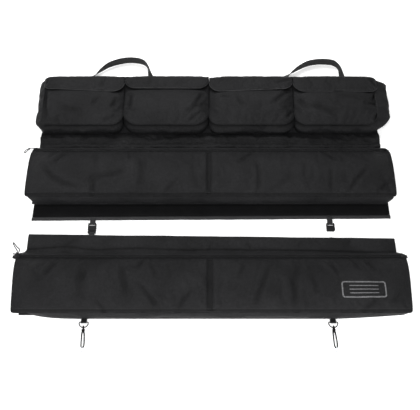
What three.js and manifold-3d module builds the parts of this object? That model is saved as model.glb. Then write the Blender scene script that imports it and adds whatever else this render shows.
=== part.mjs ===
// Two-section padded organiser for fishing rods and tackle, lying flat with its fronts up.
// Units are millimetres. +X runs along the length, +Y towards the carry handles, +Z out of the
// fronts; left is -X. Distances along Y are laid out from the fold line under the upper case;
// the body group then moves the origin to the upper case's back panel, on its underside.
import * as THREE from 'three';
import { mergeVertices } from 'three/addons/utils/BufferGeometryUtils.js';
import Module from 'manifold-3d';

const wasm = await Module();
wasm.setup();

// ---- dimensions shared by several sections ----
const ORIGIN_Y = 120;              // fold line to the frame's origin
const HALF_LENGTH = 680;           // half the length of the back panels
const PANEL_T = 3;                 // laminated fabric panel
const GAP = 0.3;                   // running gap between neighbouring pieces
const SEAT_Z = PANEL_T + GAP;      // underside of what lies on a panel
const FOLD_GAP = 3;                // gap between panels at a fold
const UPPER_PANEL_TOP = 294;       // fold between the upper panel and the pocket panel
const LOWER_Y = -454;              // bottom edge of the lower case's back panel
const LOWER_PANEL_TOP = -190;
const STRIP_DEPTH = 68;            // joining strip, along Y
const WEB_W = 20;                  // strap webbing width

// ---- materials ----
const FABRIC = { color: 0x1c1c1e, roughness: 0.86, metalness: 0 };
const LINING = { color: 0x17171a, roughness: 0.9, metalness: 0 };
const FOAM = { color: 0x2b2b2e, roughness: 0.95, metalness: 0 };
const WEB = { color: 0x18181a, roughness: 0.8, metalness: 0 };
const PILE = { color: 0x0b0b0c, roughness: 1.0, metalness: 0 };
const PLASTIC = { color: 0x111113, roughness: 0.45, metalness: 0 };
const ZIP_TAPE = { color: 0x101012, roughness: 0.85, metalness: 0 };
const ZIP_METAL = { color: 0x26272a, roughness: 0.4, metalness: 0.7 };
const STEEL = { color: 0xb9bcc0, roughness: 0.3, metalness: 1 };
const CORD = { color: 0x141415, roughness: 0.85, metalness: 0 };

// ---- outlines ----
// range of a given half width about a middle
const around = (middle, half) => [middle - half, middle + half];

function arc(cx, cy, radius, startDeg, endDeg, segments) {
  const points = [];
  for (let i = 0; i <= segments; i++) {
    const angle = THREE.MathUtils.degToRad(startDeg + (endDeg - startDeg) * i / segments);
    points.push([cx + radius * Math.cos(angle), cy + radius * Math.sin(angle)]);
  }
  return points;
}

function circle([cx, cy], radius, count) {
  return arc(cx, cy, radius, 0, 360 * (count - 1) / count, count - 1);
}

// radii are low-left, low-right, high-right, high-left
function roundRect([x0, x1], [y0, y1], radii, segments = 3) {
  const [lowLeft, lowRight, highRight, highLeft] = radii;
  return [
    ...arc(x0 + lowLeft, y0 + lowLeft, lowLeft, 180, 270, segments),
    ...arc(x1 - lowRight, y0 + lowRight, lowRight, 270, 360, segments),
    ...arc(x1 - highRight, y1 - highRight, highRight, 0, 90, segments),
    ...arc(x0 + highLeft, y1 - highLeft, highLeft, 90, 180, segments),
  ];
}

// open line moved sideways, to its right-hand side
function offset(line, distance) {
  return line.map(([x, y], i) => {
    const before = line[Math.max(i - 1, 0)];
    const after = line[Math.min(i + 1, line.length - 1)];
    const dx = after[0] - before[0];
    const dy = after[1] - before[1];
    const length = Math.hypot(dx, dy);
    return [x + distance * dy / length, y - distance * dx / length];
  });
}

// closed outline of a sheet: one face follows the line, the other lies to its right
function sheet(line, thickness) {
  return [...line, ...offset(line, thickness).reverse()];
}

// ---- geometry: prisms, swept skins and solids ----
const X = new THREE.Vector3(1, 0, 0);
const Y = new THREE.Vector3(0, 1, 0);
const Z = new THREE.Vector3(0, 0, 1);

function extrude(outline, depth, holes = []) {
  const vectors = (points) => points.map(([a, b]) => new THREE.Vector2(a, b));
  const shape = new THREE.Shape(vectors(outline));
  shape.holes = holes.map((hole) => new THREE.Path(vectors(hole)));
  return new THREE.ExtrudeGeometry(shape, { depth, bevelEnabled: false, steps: 1 });
}

// outline in (y, z), run along X
function prismX(outline, [x0, x1], holes) {
  const geom = extrude(outline, x1 - x0, holes);
  geom.applyMatrix4(new THREE.Matrix4().makeBasis(Y, Z, X));
  return geom.translate(x0, 0, 0);
}

// outline in (x, z), run along Y
function prismY(outline, [y0, y1]) {
  const geom = extrude(outline, y1 - y0);
  geom.applyMatrix4(new THREE.Matrix4().makeBasis(X, Z, Y.clone().negate()));
  return geom.translate(0, y1, 0);
}

// outline in (x, y), run along Z
function prismZ(outline, [z0, z1], holes) {
  return extrude(outline, z1 - z0, holes).translate(0, 0, z0);
}

function box([x0, x1], [y0, y1], [z0, z1]) {
  const geom = new THREE.BoxGeometry(x1 - x0, y1 - y0, z1 - z0);
  return geom.translate((x0 + x1) / 2, (y0 + y1) / 2, (z0 + z1) / 2);
}

// closed surface through rings of points, each ring the same length
function skin(rings, closed) {
  const count = rings[0].length;
  const points = rings.flat();
  const index = [];
  const spans = closed ? rings.length : rings.length - 1;
  for (let i = 0; i < spans; i++) {
    const here = i * count;
    const next = ((i + 1) % rings.length) * count;
    for (let k = 0; k < count; k++) {
      const k2 = (k + 1) % count;
      index.push(here + k, next + k, next + k2, here + k, next + k2, here + k2);
    }
  }
  if (!closed) {
    const end = (rings.length - 1) * count;
    for (let k = 1; k < count - 1; k++) {
      index.push(0, k, k + 1);
      index.push(end, end + k + 1, end + k);
    }
  }
  // faces point out when the signed volume is positive
  let volume = 0;
  for (let t = 0; t < index.length; t += 3) {
    const [a, b, c] = index.slice(t, t + 3).map((i) => points[i]);
    volume += a.dot(b.clone().cross(c));
  }
  if (volume < 0) {
    for (let t = 0; t < index.length; t += 3) {
      [index[t + 1], index[t + 2]] = [index[t + 2], index[t + 1]];
    }
  }
  const geom = new THREE.BufferGeometry();
  const coords = points.flatMap((p) => p.toArray());
  geom.setAttribute('position', new THREE.Float32BufferAttribute(coords, 3));
  geom.setIndex(index);
  return geom;
}

// round rod or cord along a curve
function rod(points, { radius, segments, sides, closed }) {
  const vectors = points.map((p) => new THREE.Vector3(...p));
  const curve = new THREE.CatmullRomCurve3(vectors, closed, 'centripetal');
  const frames = curve.computeFrenetFrames(segments, closed);
  const rings = [];
  for (let i = 0; i < (closed ? segments : segments + 1); i++) {
    const centre = curve.getPointAt(i / segments);
    const ring = [];
    for (let k = 0; k < sides; k++) {
      const angle = 2 * Math.PI * k / sides;
      ring.push(centre.clone()
        .addScaledVector(frames.normals[i], radius * Math.cos(angle))
        .addScaledVector(frames.binormals[i], radius * Math.sin(angle)));
    }
    rings.push(ring);
  }
  return skin(rings, closed);
}

// flat webbing; a station has its centre, the direction of its width, and its width
function webbing(stations, thickness) {
  const rings = stations.map(({ centre, across, width }, i) => {
    const before = new THREE.Vector3(...stations[Math.max(i - 1, 0)].centre);
    const after = new THREE.Vector3(...stations[Math.min(i + 1, stations.length - 1)].centre);
    const along = after.sub(before).normalize();
    const wide = new THREE.Vector3(...across);
    wide.addScaledVector(along, -wide.dot(along)).normalize();
    const thin = along.clone().cross(wide).normalize();
    return [[-1, -1], [1, -1], [1, 1], [-1, 1]].map(([u, v]) => new THREE.Vector3(...centre)
      .addScaledVector(wide, u * width / 2)
      .addScaledVector(thin, v * thickness / 2));
  });
  return skin(rings, false);
}

function toSolid(geom) {
  const bare = geom.clone();
  bare.deleteAttribute('normal');
  bare.deleteAttribute('uv');
  const merged = mergeVertices(bare, 1e-4);
  return new wasm.Manifold(new wasm.Mesh({
    numProp: 3,
    vertProperties: new Float32Array(merged.attributes.position.array),
    triVerts: new Uint32Array(merged.index.array),
  }));
}

function toGeometry(solid) {
  const mesh = solid.getMesh();
  const geom = new THREE.BufferGeometry();
  const coords = new Float32Array(mesh.vertProperties);
  geom.setAttribute('position', new THREE.BufferAttribute(coords, 3));
  geom.setIndex(new THREE.BufferAttribute(new Uint32Array(mesh.triVerts), 1));
  return geom;
}

const root = new THREE.Group();
const body = new THREE.Group();
body.position.set(0, -ORIGIN_Y, 0);
root.add(body);

function add(name, geom, finish) {
  if (!geom.attributes.normal) geom.computeVertexNormals();
  const mesh = new THREE.Mesh(geom, new THREE.MeshStandardMaterial(finish));
  mesh.name = name;
  body.add(mesh);
}

// flat panel over the full length
function panel(yRange, zRange = [0, PANEL_T]) {
  return box(around(0, HALF_LENGTH), yRange, zRange);
}

// ---- padded zip case; y is measured from the bottom edge of its back panel ----
const PAD_T = 6;
const COVER_T = 2.5;
const FLARE = 18;                  // how far each end wall leans out by the front cover
const FLARE_HEIGHT = 62;           // height over which it does
const END_WALL_T = 3;
const WALL_LEAN = 10 / 55;         // lean of the bottom wall, y per z
const BACK_PAD_Y = [16, 228];
const BACK_PAD_HALF = HALF_LENGTH - 12;
const FRONT_PAD_HALF = HALF_LENGTH - 10;
const ZIP_HALF = HALF_LENGTH + 12;
const SLIDER_AT = [-682, 236.3, 28.9];
const ZIP_TILT = Math.atan2(-10.4, 15.2);
// outer face of the front cover: y, z
const COVER = [[10, 63], [22, 71], [60, 78], [110, 78], [158, 69], [194, 53], [216, 38]];
// end wall: y, z
const END_WALL = [
  [5.5, SEAT_Z], [249, SEAT_Z], [239, 18], [226, 26], [213, 32], [192, 45], [157, 61],
  [110, 70], [60, 70], [24, 63.5], [5.5 + WALL_LEAN * 53, SEAT_Z + 53.5],
];
// zip tapes: y, z
const TAPE_FRONT = [[216.6, 37.2], [227.0, 31.6], [226.2, 29.8], [215.6, 35.6]];
const TAPE_BACK = [
  [254, SEAT_Z], [243.6, 20.8], [228.4, 31.2], [227.6, 29.4], [242.2, 19.2], [251.6, SEAT_Z],
];

// foam on the back panel, with a pressed channel running along Y at mid-length
function caseBackPad() {
  const top = SEAT_Z + PAD_T;
  const floor = SEAT_Z + 2;
  return prismY([
    [-BACK_PAD_HALF, SEAT_Z], [BACK_PAD_HALF, SEAT_Z], [BACK_PAD_HALF, top],
    [9, top], [3, floor], [-3, floor], [-9, top], [-BACK_PAD_HALF, top],
  ], BACK_PAD_Y);
}

// leans both ends of a piece outwards as it rises
function flareEnds(geom) {
  const pos = geom.attributes.position;
  for (let i = 0; i < pos.count; i++) {
    const x = pos.getX(i);
    pos.setX(i, x + Math.sign(x) * FLARE * (pos.getZ(i) - SEAT_Z) / FLARE_HEIGHT);
  }
  return geom;
}

// the bottom wall and both ends, one strip
function caseGusset() {
  const bottom = prismX([
    [4.5, SEAT_Z], [7.5, SEAT_Z],
    [7.5 + WALL_LEAN * 53, SEAT_Z + 53], [4.5 + WALL_LEAN * 53, SEAT_Z + 55],
  ], around(0, HALF_LENGTH - 2));
  const left = prismX(END_WALL, [-HALF_LENGTH, -HALF_LENGTH + END_WALL_T]);
  const right = prismX(END_WALL, [HALF_LENGTH - END_WALL_T, HALF_LENGTH]);
  const [bottomWall, leftWall, rightWall] = [bottom, left, right]
    .map((wall) => toSolid(flareEnds(wall)));
  return toGeometry(bottomWall.add(leftWall).add(rightWall));
}

// foam behind the front cover
function caseFrontPad() {
  const outer = offset(COVER, COVER_T + GAP + 0.2).slice(1, -1);
  const inner = offset(COVER, COVER_T + GAP + PAD_T).slice(1, -1);
  return prismX([...outer, ...inner.reverse()], around(0, FRONT_PAD_HALF));
}

// lays a zip part made flat about the origin onto the left end of the zip
function ontoZip(geom) {
  return geom.rotateX(ZIP_TILT).translate(...SLIDER_AT);
}

// slider with a slotted bridge on top
function zipSlider() {
  const plate = prismZ(roundRect([-7, 7], [-4.5, 4.5], [3, 1.5, 1.5, 3]), [-1.4, 1.4]);
  const bridge = box([-5, 3], [-1.2, 1.2], [1.2, 4.4]);
  const slot = box([-3.2, 1.2], [-2, 2], [1.4, 3.0]);
  return toGeometry(toSolid(plate).add(toSolid(bridge)).subtract(toSolid(slot)));
}

// pull tab reaching left from the slider, with a long hole near its far end
function zipPull() {
  const hole = roundRect([-29, -20], [-1.6, 1.6], [1.2, 1.2, 1.2, 1.2], 2);
  return prismZ(roundRect([-32, -6.4], [-3.4, 3.4], [3, 1, 1, 3]), [1.7, 3.3], [hole]);
}

function buildCase(name, bottomY) {
  const zipRange = around(0, ZIP_HALF);
  const pieces = [
    ['back_pad', caseBackPad(), FOAM],
    ['gusset', caseGusset(), FABRIC],
    ['front_cover', prismX(sheet(COVER, COVER_T), around(0, HALF_LENGTH + FLARE)), FABRIC],
    ['front_pad', caseFrontPad(), FOAM],
    ['zip_tape_front', prismX(TAPE_FRONT, zipRange), ZIP_TAPE],
    ['zip_tape_back', prismX(TAPE_BACK, zipRange), ZIP_TAPE],
    ['zip_slider', ontoZip(zipSlider()), ZIP_METAL],
    ['zip_pull', ontoZip(zipPull()), ZIP_METAL],
  ];
  for (const [piece, geom, finish] of pieces) {
    add(`${name}_${piece}`, geom.translate(0, bottomY, 0), finish);
  }
}

// ---- upper section ----
add('upper_back_panel', panel([FOLD_GAP, UPPER_PANEL_TOP]), LINING);
buildCase('upper', 0);

// ---- pocket panel: four gusseted pockets, each under its own flap ----
const POCKET_PANEL_TOP = 588;
const POCKET_EDGES = [-706, -350, -4, 340, 712];  // seams between the pockets, and outer ends
const POCKET_SEAM_GAP = 5;         // seam to a pocket's side
const POCKET_BASE_HALF = 676;      // reach of the outer pockets' gussets at the panel
const POCKET_BOTTOM = 317;
const POCKET_TOP = 548;
const POCKET_GUSSET_TOP = 64;
const POCKET_WALL_T = 2.5;
const POCKET_LEAN_REACH = 120;     // length over which an outer end's lean fades out
// outer face of a pocket's front, bowed outwards: y, z
const POCKET_FACE = [
  [POCKET_BOTTOM + 3, 60], [POCKET_BOTTOM + 30, 70], [POCKET_BOTTOM + 90, 77],
  [POCKET_BOTTOM + 160, 77], [POCKET_TOP - 30, 71], [POCKET_TOP, 66],
];
// outer face of a flap, from its hinge over the pocket's mouth and down its front: y, z
const FLAP_FACE = [[575.5, 6], [571.5, 40], [562, 73], [549, 79.5], [487, 80]];

// open U in (x, y), with chamfered corners
function pocketU(left, right, bottom, chamfer) {
  return [
    [left, POCKET_TOP], [left, bottom + chamfer], [left + chamfer, bottom],
    [right - chamfer, bottom], [right, bottom + chamfer], [right, POCKET_TOP],
  ];
}

// two sides and the bottom; the outer ends of the outer pockets lean out
function pocketGusset(left, right) {
  const baseLeft = Math.max(left, -POCKET_BASE_HALF);
  const baseRight = Math.min(right, POCKET_BASE_HALF);
  const outer = pocketU(baseLeft, baseRight, POCKET_BOTTOM, 34);
  const inner = pocketU(
    baseLeft + POCKET_WALL_T, baseRight - POCKET_WALL_T, POCKET_BOTTOM + POCKET_WALL_T, 33);
  const geom = prismZ([...outer, ...inner.reverse()], [SEAT_Z, POCKET_GUSSET_TOP]);
  const pos = geom.attributes.position;
  for (let i = 0; i < pos.count; i++) {
    const x = pos.getX(i);
    const rise = (pos.getZ(i) - SEAT_Z) / (POCKET_GUSSET_TOP - SEAT_Z);
    const nearLeft = Math.max(0, left + POCKET_LEAN_REACH - x) / POCKET_LEAN_REACH;
    const nearRight = Math.max(0, x - right + POCKET_LEAN_REACH) / POCKET_LEAN_REACH;
    const lean = (left - baseLeft) * nearLeft + (right - baseRight) * nearRight;
    pos.setX(i, x + lean * rise);
  }
  return geom;
}

// bowed front, trimmed to the pocket's outline and cut clear of the gusset
function pocketFront(left, right) {
  const sideEnd = POCKET_BOTTOM + 36;
  const bottom = POCKET_BOTTOM - 2;
  const top = POCKET_TOP + 5;
  const front = toSolid(prismX(sheet(POCKET_FACE, POCKET_WALL_T), [left, right]));
  const outline = toSolid(prismZ([
    [left, top], [left, sideEnd], [left + 34, bottom],
    [right - 34, bottom], [right, sideEnd], [right, top],
  ], [40, 90]));
  const clearance = toSolid(prismZ(
    pocketU(left - 6, right + 6, POCKET_BOTTOM - 6, 20), [0, POCKET_GUSSET_TOP + 0.4]));
  return toGeometry(front.intersect(outline).subtract(clearance));
}

function pocketFlap(left, right) {
  return toGeometry(toSolid(prismX(sheet(FLAP_FACE, -POCKET_WALL_T), [left + 1, right - 1])));
}

add('pocket_panel', panel([UPPER_PANEL_TOP + FOLD_GAP, POCKET_PANEL_TOP]), LINING);
for (let i = 0; i < 4; i++) {
  const left = POCKET_EDGES[i] + (i === 0 ? 0 : POCKET_SEAM_GAP);
  const right = POCKET_EDGES[i + 1] - (i === 3 ? 0 : POCKET_SEAM_GAP);
  add(`pocket_${i + 1}_gusset`, pocketGusset(left, right), FABRIC);
  add(`pocket_${i + 1}_front`, pocketFront(left, right), FABRIC);
  add(`pocket_${i + 1}_flap`, pocketFlap(left, right), FABRIC);
}

// ---- carry handles: flat at their sewn ends, standing on edge along their run ----
const HANDLE_W = 36;
const HANDLE_T = 2.4;
// per station: z, direction of the width, width
const HANDLE_STATIONS = [
  [4.6, [1, 0, 0], 30], [4.6, [1, 0, 0], 30], [9, [0.6, -0.4, 0.75], 26],
  [14, [0, -0.2, 1], 26], [17.5, [0, 0, 1], 32], [18.5, [0, 0, 1], HANDLE_W],
  [18.5, [0, 0, 1], HANDLE_W], [18.5, [0, 0, 1], HANDLE_W], [18, [0, 0, 1], 34],
  [16, [0, 0, 1], 30], [12.5, [0.5, 0, 1], 24], [6, [0.95, 0, 0.5], 24],
  [4.6, [1, 0, 0], 28], [4.6, [1, 0, 0], 30],
];
// centre line at the same stations: x, y
const HANDLE_PATHS = {
  left: [
    [-511, 589.5], [-511, 601], [-492, 619], [-465, 644], [-433, 669], [-390, 687], [-350, 695],
    [-311, 692.5], [-283, 682], [-267, 663], [-259, 634], [-252, 612], [-249, 600], [-249, 589.5],
  ],
  right: [
    [313, 589.5], [313, 601], [329, 619], [354, 637], [384, 658], [418, 676], [457, 685.5],
    [497, 686], [529, 679.5], [549, 660], [556, 637], [560, 614], [562, 601], [562, 589.5],
  ],
};
for (const [side, path] of Object.entries(HANDLE_PATHS)) {
  const stations = HANDLE_STATIONS.map(([z, across, width], i) => (
    { centre: [...path[i], z], across, width }));
  add(`handle_${side}`, webbing(stations, HANDLE_T), WEB);
}

// ---- joining strip with its loop tape ----
add('joining_strip', panel([-STRIP_DEPTH, 0]), FABRIC);
add('loop_tape', box(around(0, HALF_LENGTH - 4), [-54, -7], [SEAT_Z, PANEL_T + 2]), PILE);

// ---- straps and buckles ----
const STRAP_X = { left: -440, right: 450 };
const STRAP_T = 2.0;
const BUCKLE_Z = 5.8;
const FEMALE_BAR = [-83.5, BUCKLE_Z];   // webbing bars: y, z
const MALE_BAR = [-119.5, BUCKLE_Z];
const BAR_R = 1.8;
const BAR_HALF = 12.4;
const BAR_OPENING_HALF = 11.4;     // half the width of the opening round a bar
const FEMALE_HALF = 15.5;
const FEMALE_Y = [-113, -80.5];
const PRONG_Z = around(BUCKLE_Z, 1.8);
const LOOSE_SHIFT = [-41, -1.6];   // loose male buckle from the clipped place: y, z
// prong on the +X side: x from the buckle's middle, y
const PRONG = [
  [3.9, -113], [8.6, -113], [8.8, -107.5], [11.1, -106.6],
  [11.1, -103], [7.8, -97.2], [5.2, -97.2], [5.0, -105],
];

// webbing doubled round a bar, with a flat tail
function looped({ bar, tailY, tailZ, thickness, x, eye = 2.3 }) {
  const [barY, barZ] = bar;
  const outer = eye + thickness;
  const away = Math.sign(barY - tailY);     // side of the bar away from the tail
  const rim = arc(0, barZ, outer, 90, -90, 8).map(([y, z]) => [barY + away * y, z]);
  const neckY = barY - away * (outer + 2);
  const shoulderY = barY - away * 1.5;
  const outline = [
    [tailY, tailZ + thickness], [neckY, tailZ + thickness], [shoulderY, barZ + outer],
    ...rim,
    [shoulderY, barZ - outer], [neckY, tailZ], [tailY, tailZ],
  ];
  return prismX(outline, around(x, WEB_W / 2), [circle(bar, eye, 12)]);
}

function webbingBar(bar, x) {
  return toSolid(prismX(circle(bar, BAR_R, 12), around(x, BAR_HALF)));
}

function femaleBuckle(x) {
  const insideZ = around(BUCKLE_Z, 2.8);
  const shell = prismZ(
    roundRect(around(x, FEMALE_HALF), FEMALE_Y, [3.5, 3.5, 5, 5]), around(BUCKLE_Z, 5.2));
  // the cavity is open towards the male part
  const cavity = box(around(x, 11.6), [FEMALE_Y[0] - 1, -94], insideZ);
  const sideWindows = box(around(x, FEMALE_HALF + 1), [-106, -98], insideZ);
  const webbingRoom = box(around(x, BAR_OPENING_HALF), [-92.4, -79], around(BUCKLE_Z, 6));
  return toGeometry(toSolid(shell)
    .subtract(toSolid(cavity))
    .subtract(toSolid(sideWindows))
    .subtract(toSolid(webbingRoom))
    .add(webbingBar(FEMALE_BAR, x)));
}

// male buckle without its two prongs
function maleBody(x) {
  const barY = MALE_BAR[0];
  const plate = prismZ(
    roundRect(around(x, 15), [barY - 4, -113.4], [3.5, 3.5, 1, 1]), around(BUCKLE_Z, 3.3));
  const webbingRoom = box(
    around(x, BAR_OPENING_HALF), [barY - 6, barY + 4.8], around(BUCKLE_Z, 4));
  const tongue = box(around(x, 2.4), [-114, -97], PRONG_Z);
  return toSolid(plate)
    .subtract(toSolid(webbingRoom))
    .add(webbingBar(MALE_BAR, x))
    .add(toSolid(tongue));
}

function prong(middleX, side) {
  return prismZ(PRONG.map(([x, y]) => [middleX + side * x, y]), PRONG_Z);
}

// male buckle with its prongs set back so that they join its body
function looseMaleBuckle() {
  const joinedProng = (side) => toSolid(prong(0, side).translate(0, -0.8, 0));
  const geom = toGeometry(maleBody(0).add(joinedProng(1)).add(joinedProng(-1)));
  return geom.translate(STRAP_X.right, ...LOOSE_SHIFT);
}

for (const [side, x] of Object.entries(STRAP_X)) {
  add(`strap_${side}`, looped({
    bar: FEMALE_BAR, tailY: -STRIP_DEPTH - GAP, tailZ: 1.0, thickness: STRAP_T, x,
  }), WEB);
  add(`buckle_female_${side}`, femaleBuckle(x), PLASTIC);
}
add('buckle_male_left', toGeometry(maleBody(STRAP_X.left)), PLASTIC);
add('buckle_prong_a', prong(STRAP_X.left, -1), PLASTIC);
add('buckle_prong_b', prong(STRAP_X.left, 1), PLASTIC);

// ---- lower section ----
const TOP_FLAP_Y = [-196.5, -132];
const TOP_FLAP_Z = [10.2, 13];
const LOWER_TAIL_Y = -199.2;       // tail end of the lower straps
// tab at the right end of the zip: x, y
const ZIP_TAB = [[693.5, -238], [693.5, -216], [714, -224], [714, -230]];

add('lower_back_panel', panel([LOWER_Y, LOWER_PANEL_TOP]), LINING);
buildCase('lower', LOWER_Y);
// top flap with hook tape underneath
add('lower_top_flap', panel(TOP_FLAP_Y, TOP_FLAP_Z), FABRIC);
add('hook_tape', box(
  around(0, HALF_LENGTH - 6), [-188, -139], [8.8, TOP_FLAP_Z[0] - GAP]), PILE);

// the left strap runs under the flap to the clipped buckle, the right one to the loose buckle
add('lower_strap_left', looped({
  bar: MALE_BAR, tailY: LOWER_TAIL_Y, tailZ: SEAT_Z, thickness: STRAP_T, x: STRAP_X.left,
}), WEB);
add('buckle_male_right', looseMaleBuckle(), PLASTIC);
add('lower_strap_right', looped({
  bar: MALE_BAR.map((value, i) => value + LOOSE_SHIFT[i]),
  tailY: LOWER_TAIL_Y, tailZ: SEAT_Z, thickness: 1.4, x: STRAP_X.right,
}), WEB);
for (const [side, sign] of [['left', -1], ['right', 1]]) {
  const outline = ZIP_TAB.map(([x, y]) => [sign * x, y]);
  add(`lower_zip_tab_${side}`, prismZ(outline, [27, 29.5]), WEB);
}

// ---- hitch tabs, D-rings, cord loops and wire hooks along the bottom edge ----
const HITCH_X = { left: -437.5, right: 427 };
const RING_Y = -463.5;             // straight side of the D-rings
const RING_Z = 7;
const RING_BOW = 19.5;             // straight side to the far point of the bow
const BOW_Y = RING_Y - RING_BOW;
const CORD_Z = 6.2;                // cord where it lies straight
const CORD_REACH = 70;             // ring's bow to the cord's far end
const HOOK_EYE_R = 4.5;
const HOOK_X = 2.4;                // hook from the tab's middle
// centre line of a D-ring: x from the tab's middle, y from the straight side
const RING = [
  [-14, 0], [-10, 0], [0, 0], [10, 0], [14, 0], [15.8, -2.6], [15, -9],
  [10.6, -15.4], [0, -RING_BOW], [-10.6, -15.4], [-15, -9], [-15.8, -2.6],
];
// centre line of a cord loop: x from the tab's middle, y from the ring's bow, z
const CORD_LOOP = [
  [0, 4.8, RING_Z], [0.3, 2.6, RING_Z + 3.9], [1.0, -2, RING_Z + 4.8],
  [2.6, -10, RING_Z + 1.6], [5, -24, CORD_Z], [6.8, -42, CORD_Z], [7.6, -56, CORD_Z],
  [6.8, -66, CORD_Z], [HOOK_X, -CORD_REACH, CORD_Z], [-2.0, -66, CORD_Z],
  [-2.8, -56, CORD_Z], [-3.2, -42, CORD_Z], [-3.6, -24, 6.0], [-2.6, -10, 2.6],
  [-1.0, -2, RING_Z - 4.8], [-0.3, 2.6, RING_Z - 3.9],
];
// hook's shank and open bend, from the middle of its eye: y, z
const HOOK_SHANK = [[-7.5, 1.0], [-13, -0.5], [-17.5, 0.2], [-19.2, 3.2], [-17.2, 6.0], [-13.5, 6.2]];

function ring(middleX) {
  const points = RING.map(([x, y]) => [middleX + x, RING_Y + y, RING_Z]);
  return rod(points, { radius: 2.0, segments: 40, sides: 8, closed: true });
}

function cordLoop(middleX) {
  const points = CORD_LOOP.map(([x, y, z]) => [middleX + x, BOW_Y + y, z]);
  return rod(points, { radius: 2.0, segments: 64, sides: 7, closed: true });
}

// eye turned round the cord, drifting along X as it goes, then the shank
function hook(middleX) {
  const eyeX = middleX + HOOK_X;
  const eyeY = BOW_Y - CORD_REACH;
  const points = arc(eyeY, CORD_Z, HOOK_EYE_R, -168, 168, 8)
    .map(([y, z], k) => [eyeX + 0.15 * (k - 4), y, z]);
  points.push(...HOOK_SHANK.map(([y, z]) => [eyeX, eyeY + y, CORD_Z + z]));
  return rod(points, { radius: 1.3, segments: 44, sides: 6, closed: false });
}

for (const [side, x] of Object.entries(HITCH_X)) {
  add(`hitch_tab_${side}`, looped({
    bar: [RING_Y, RING_Z], tailY: LOWER_Y - GAP, tailZ: 1.0, thickness: 1.6, x, eye: 2.8,
  }), WEB);
  add(`d_ring_${side}`, ring(x), PLASTIC);
  add(`cord_${side}`, cordLoop(x), CORD);
  add(`hook_${side}`, hook(x), STEEL);
}

export default root;
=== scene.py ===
"""Looks for a two-section padded sleeve organiser: cloth, padding, webbing, zips and hardware."""
import math

import bmesh
import bpy
import numpy as np
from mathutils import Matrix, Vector, noise
from mathutils.bvhtree import BVHTree
from mathutils.geometry import delaunay_2d_cdt

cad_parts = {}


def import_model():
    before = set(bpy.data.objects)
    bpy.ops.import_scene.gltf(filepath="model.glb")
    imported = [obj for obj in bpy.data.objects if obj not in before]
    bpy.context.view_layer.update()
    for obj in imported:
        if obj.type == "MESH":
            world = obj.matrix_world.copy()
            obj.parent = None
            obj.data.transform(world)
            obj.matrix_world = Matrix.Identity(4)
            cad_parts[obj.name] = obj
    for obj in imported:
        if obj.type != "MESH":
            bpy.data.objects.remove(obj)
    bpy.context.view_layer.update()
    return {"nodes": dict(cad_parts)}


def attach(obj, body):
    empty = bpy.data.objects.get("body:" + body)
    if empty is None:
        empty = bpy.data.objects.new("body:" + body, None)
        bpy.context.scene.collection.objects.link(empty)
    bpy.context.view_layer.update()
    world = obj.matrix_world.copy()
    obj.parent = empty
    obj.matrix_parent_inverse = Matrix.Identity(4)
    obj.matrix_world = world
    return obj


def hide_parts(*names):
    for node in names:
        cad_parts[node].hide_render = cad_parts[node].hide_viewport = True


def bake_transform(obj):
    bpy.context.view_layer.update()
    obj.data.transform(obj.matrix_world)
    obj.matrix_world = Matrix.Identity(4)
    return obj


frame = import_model()
OY = 120.0          # fold line under the upper case to the frame's origin, mm
scene = bpy.context.scene
rng = np.random.default_rng(7)

# ------------------------------------------------------------------ materials


def new_mat(name):
    m = bpy.data.materials.new(name)
    m.use_nodes = True
    nt = m.node_tree
    for n in list(nt.nodes):
        nt.nodes.remove(n)
    out = nt.nodes.new("ShaderNodeOutputMaterial")
    b = nt.nodes.new("ShaderNodeBsdfPrincipled")
    nt.links.new(b.outputs[0], out.inputs[0])
    return m, nt, b


def N(nt, kind, **kw):
    n = nt.nodes.new(kind)
    for k, v in kw.items():
        if k.startswith("i_"):
            n.inputs[k[2:].replace("_", " ")].default_value = v
        else:
            setattr(n, k, v)
    return n


def math_node(nt, op, a, b=None, c=None):
    n = nt.nodes.new("ShaderNodeMath")
    n.operation = op
    for i, x in enumerate((a, b, c)):
        if x is None:
            continue
        if isinstance(x, (int, float)):
            n.inputs[i].default_value = x
        else:
            nt.links.new(x, n.inputs[i])
    return n.outputs[0]


def mix_col(nt, fac, a, b, mode="MIX"):
    n = nt.nodes.new("ShaderNodeMix")
    n.data_type = "RGBA"
    n.blend_type = mode
    for i, x in ((0, fac), (6, a), (7, b)):
        if isinstance(x, (int, float)):
            n.inputs[i].default_value = x
        elif isinstance(x, tuple):
            n.inputs[i].default_value = x
        else:
            nt.links.new(x, n.inputs[i])
    return n.outputs[2]


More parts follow.
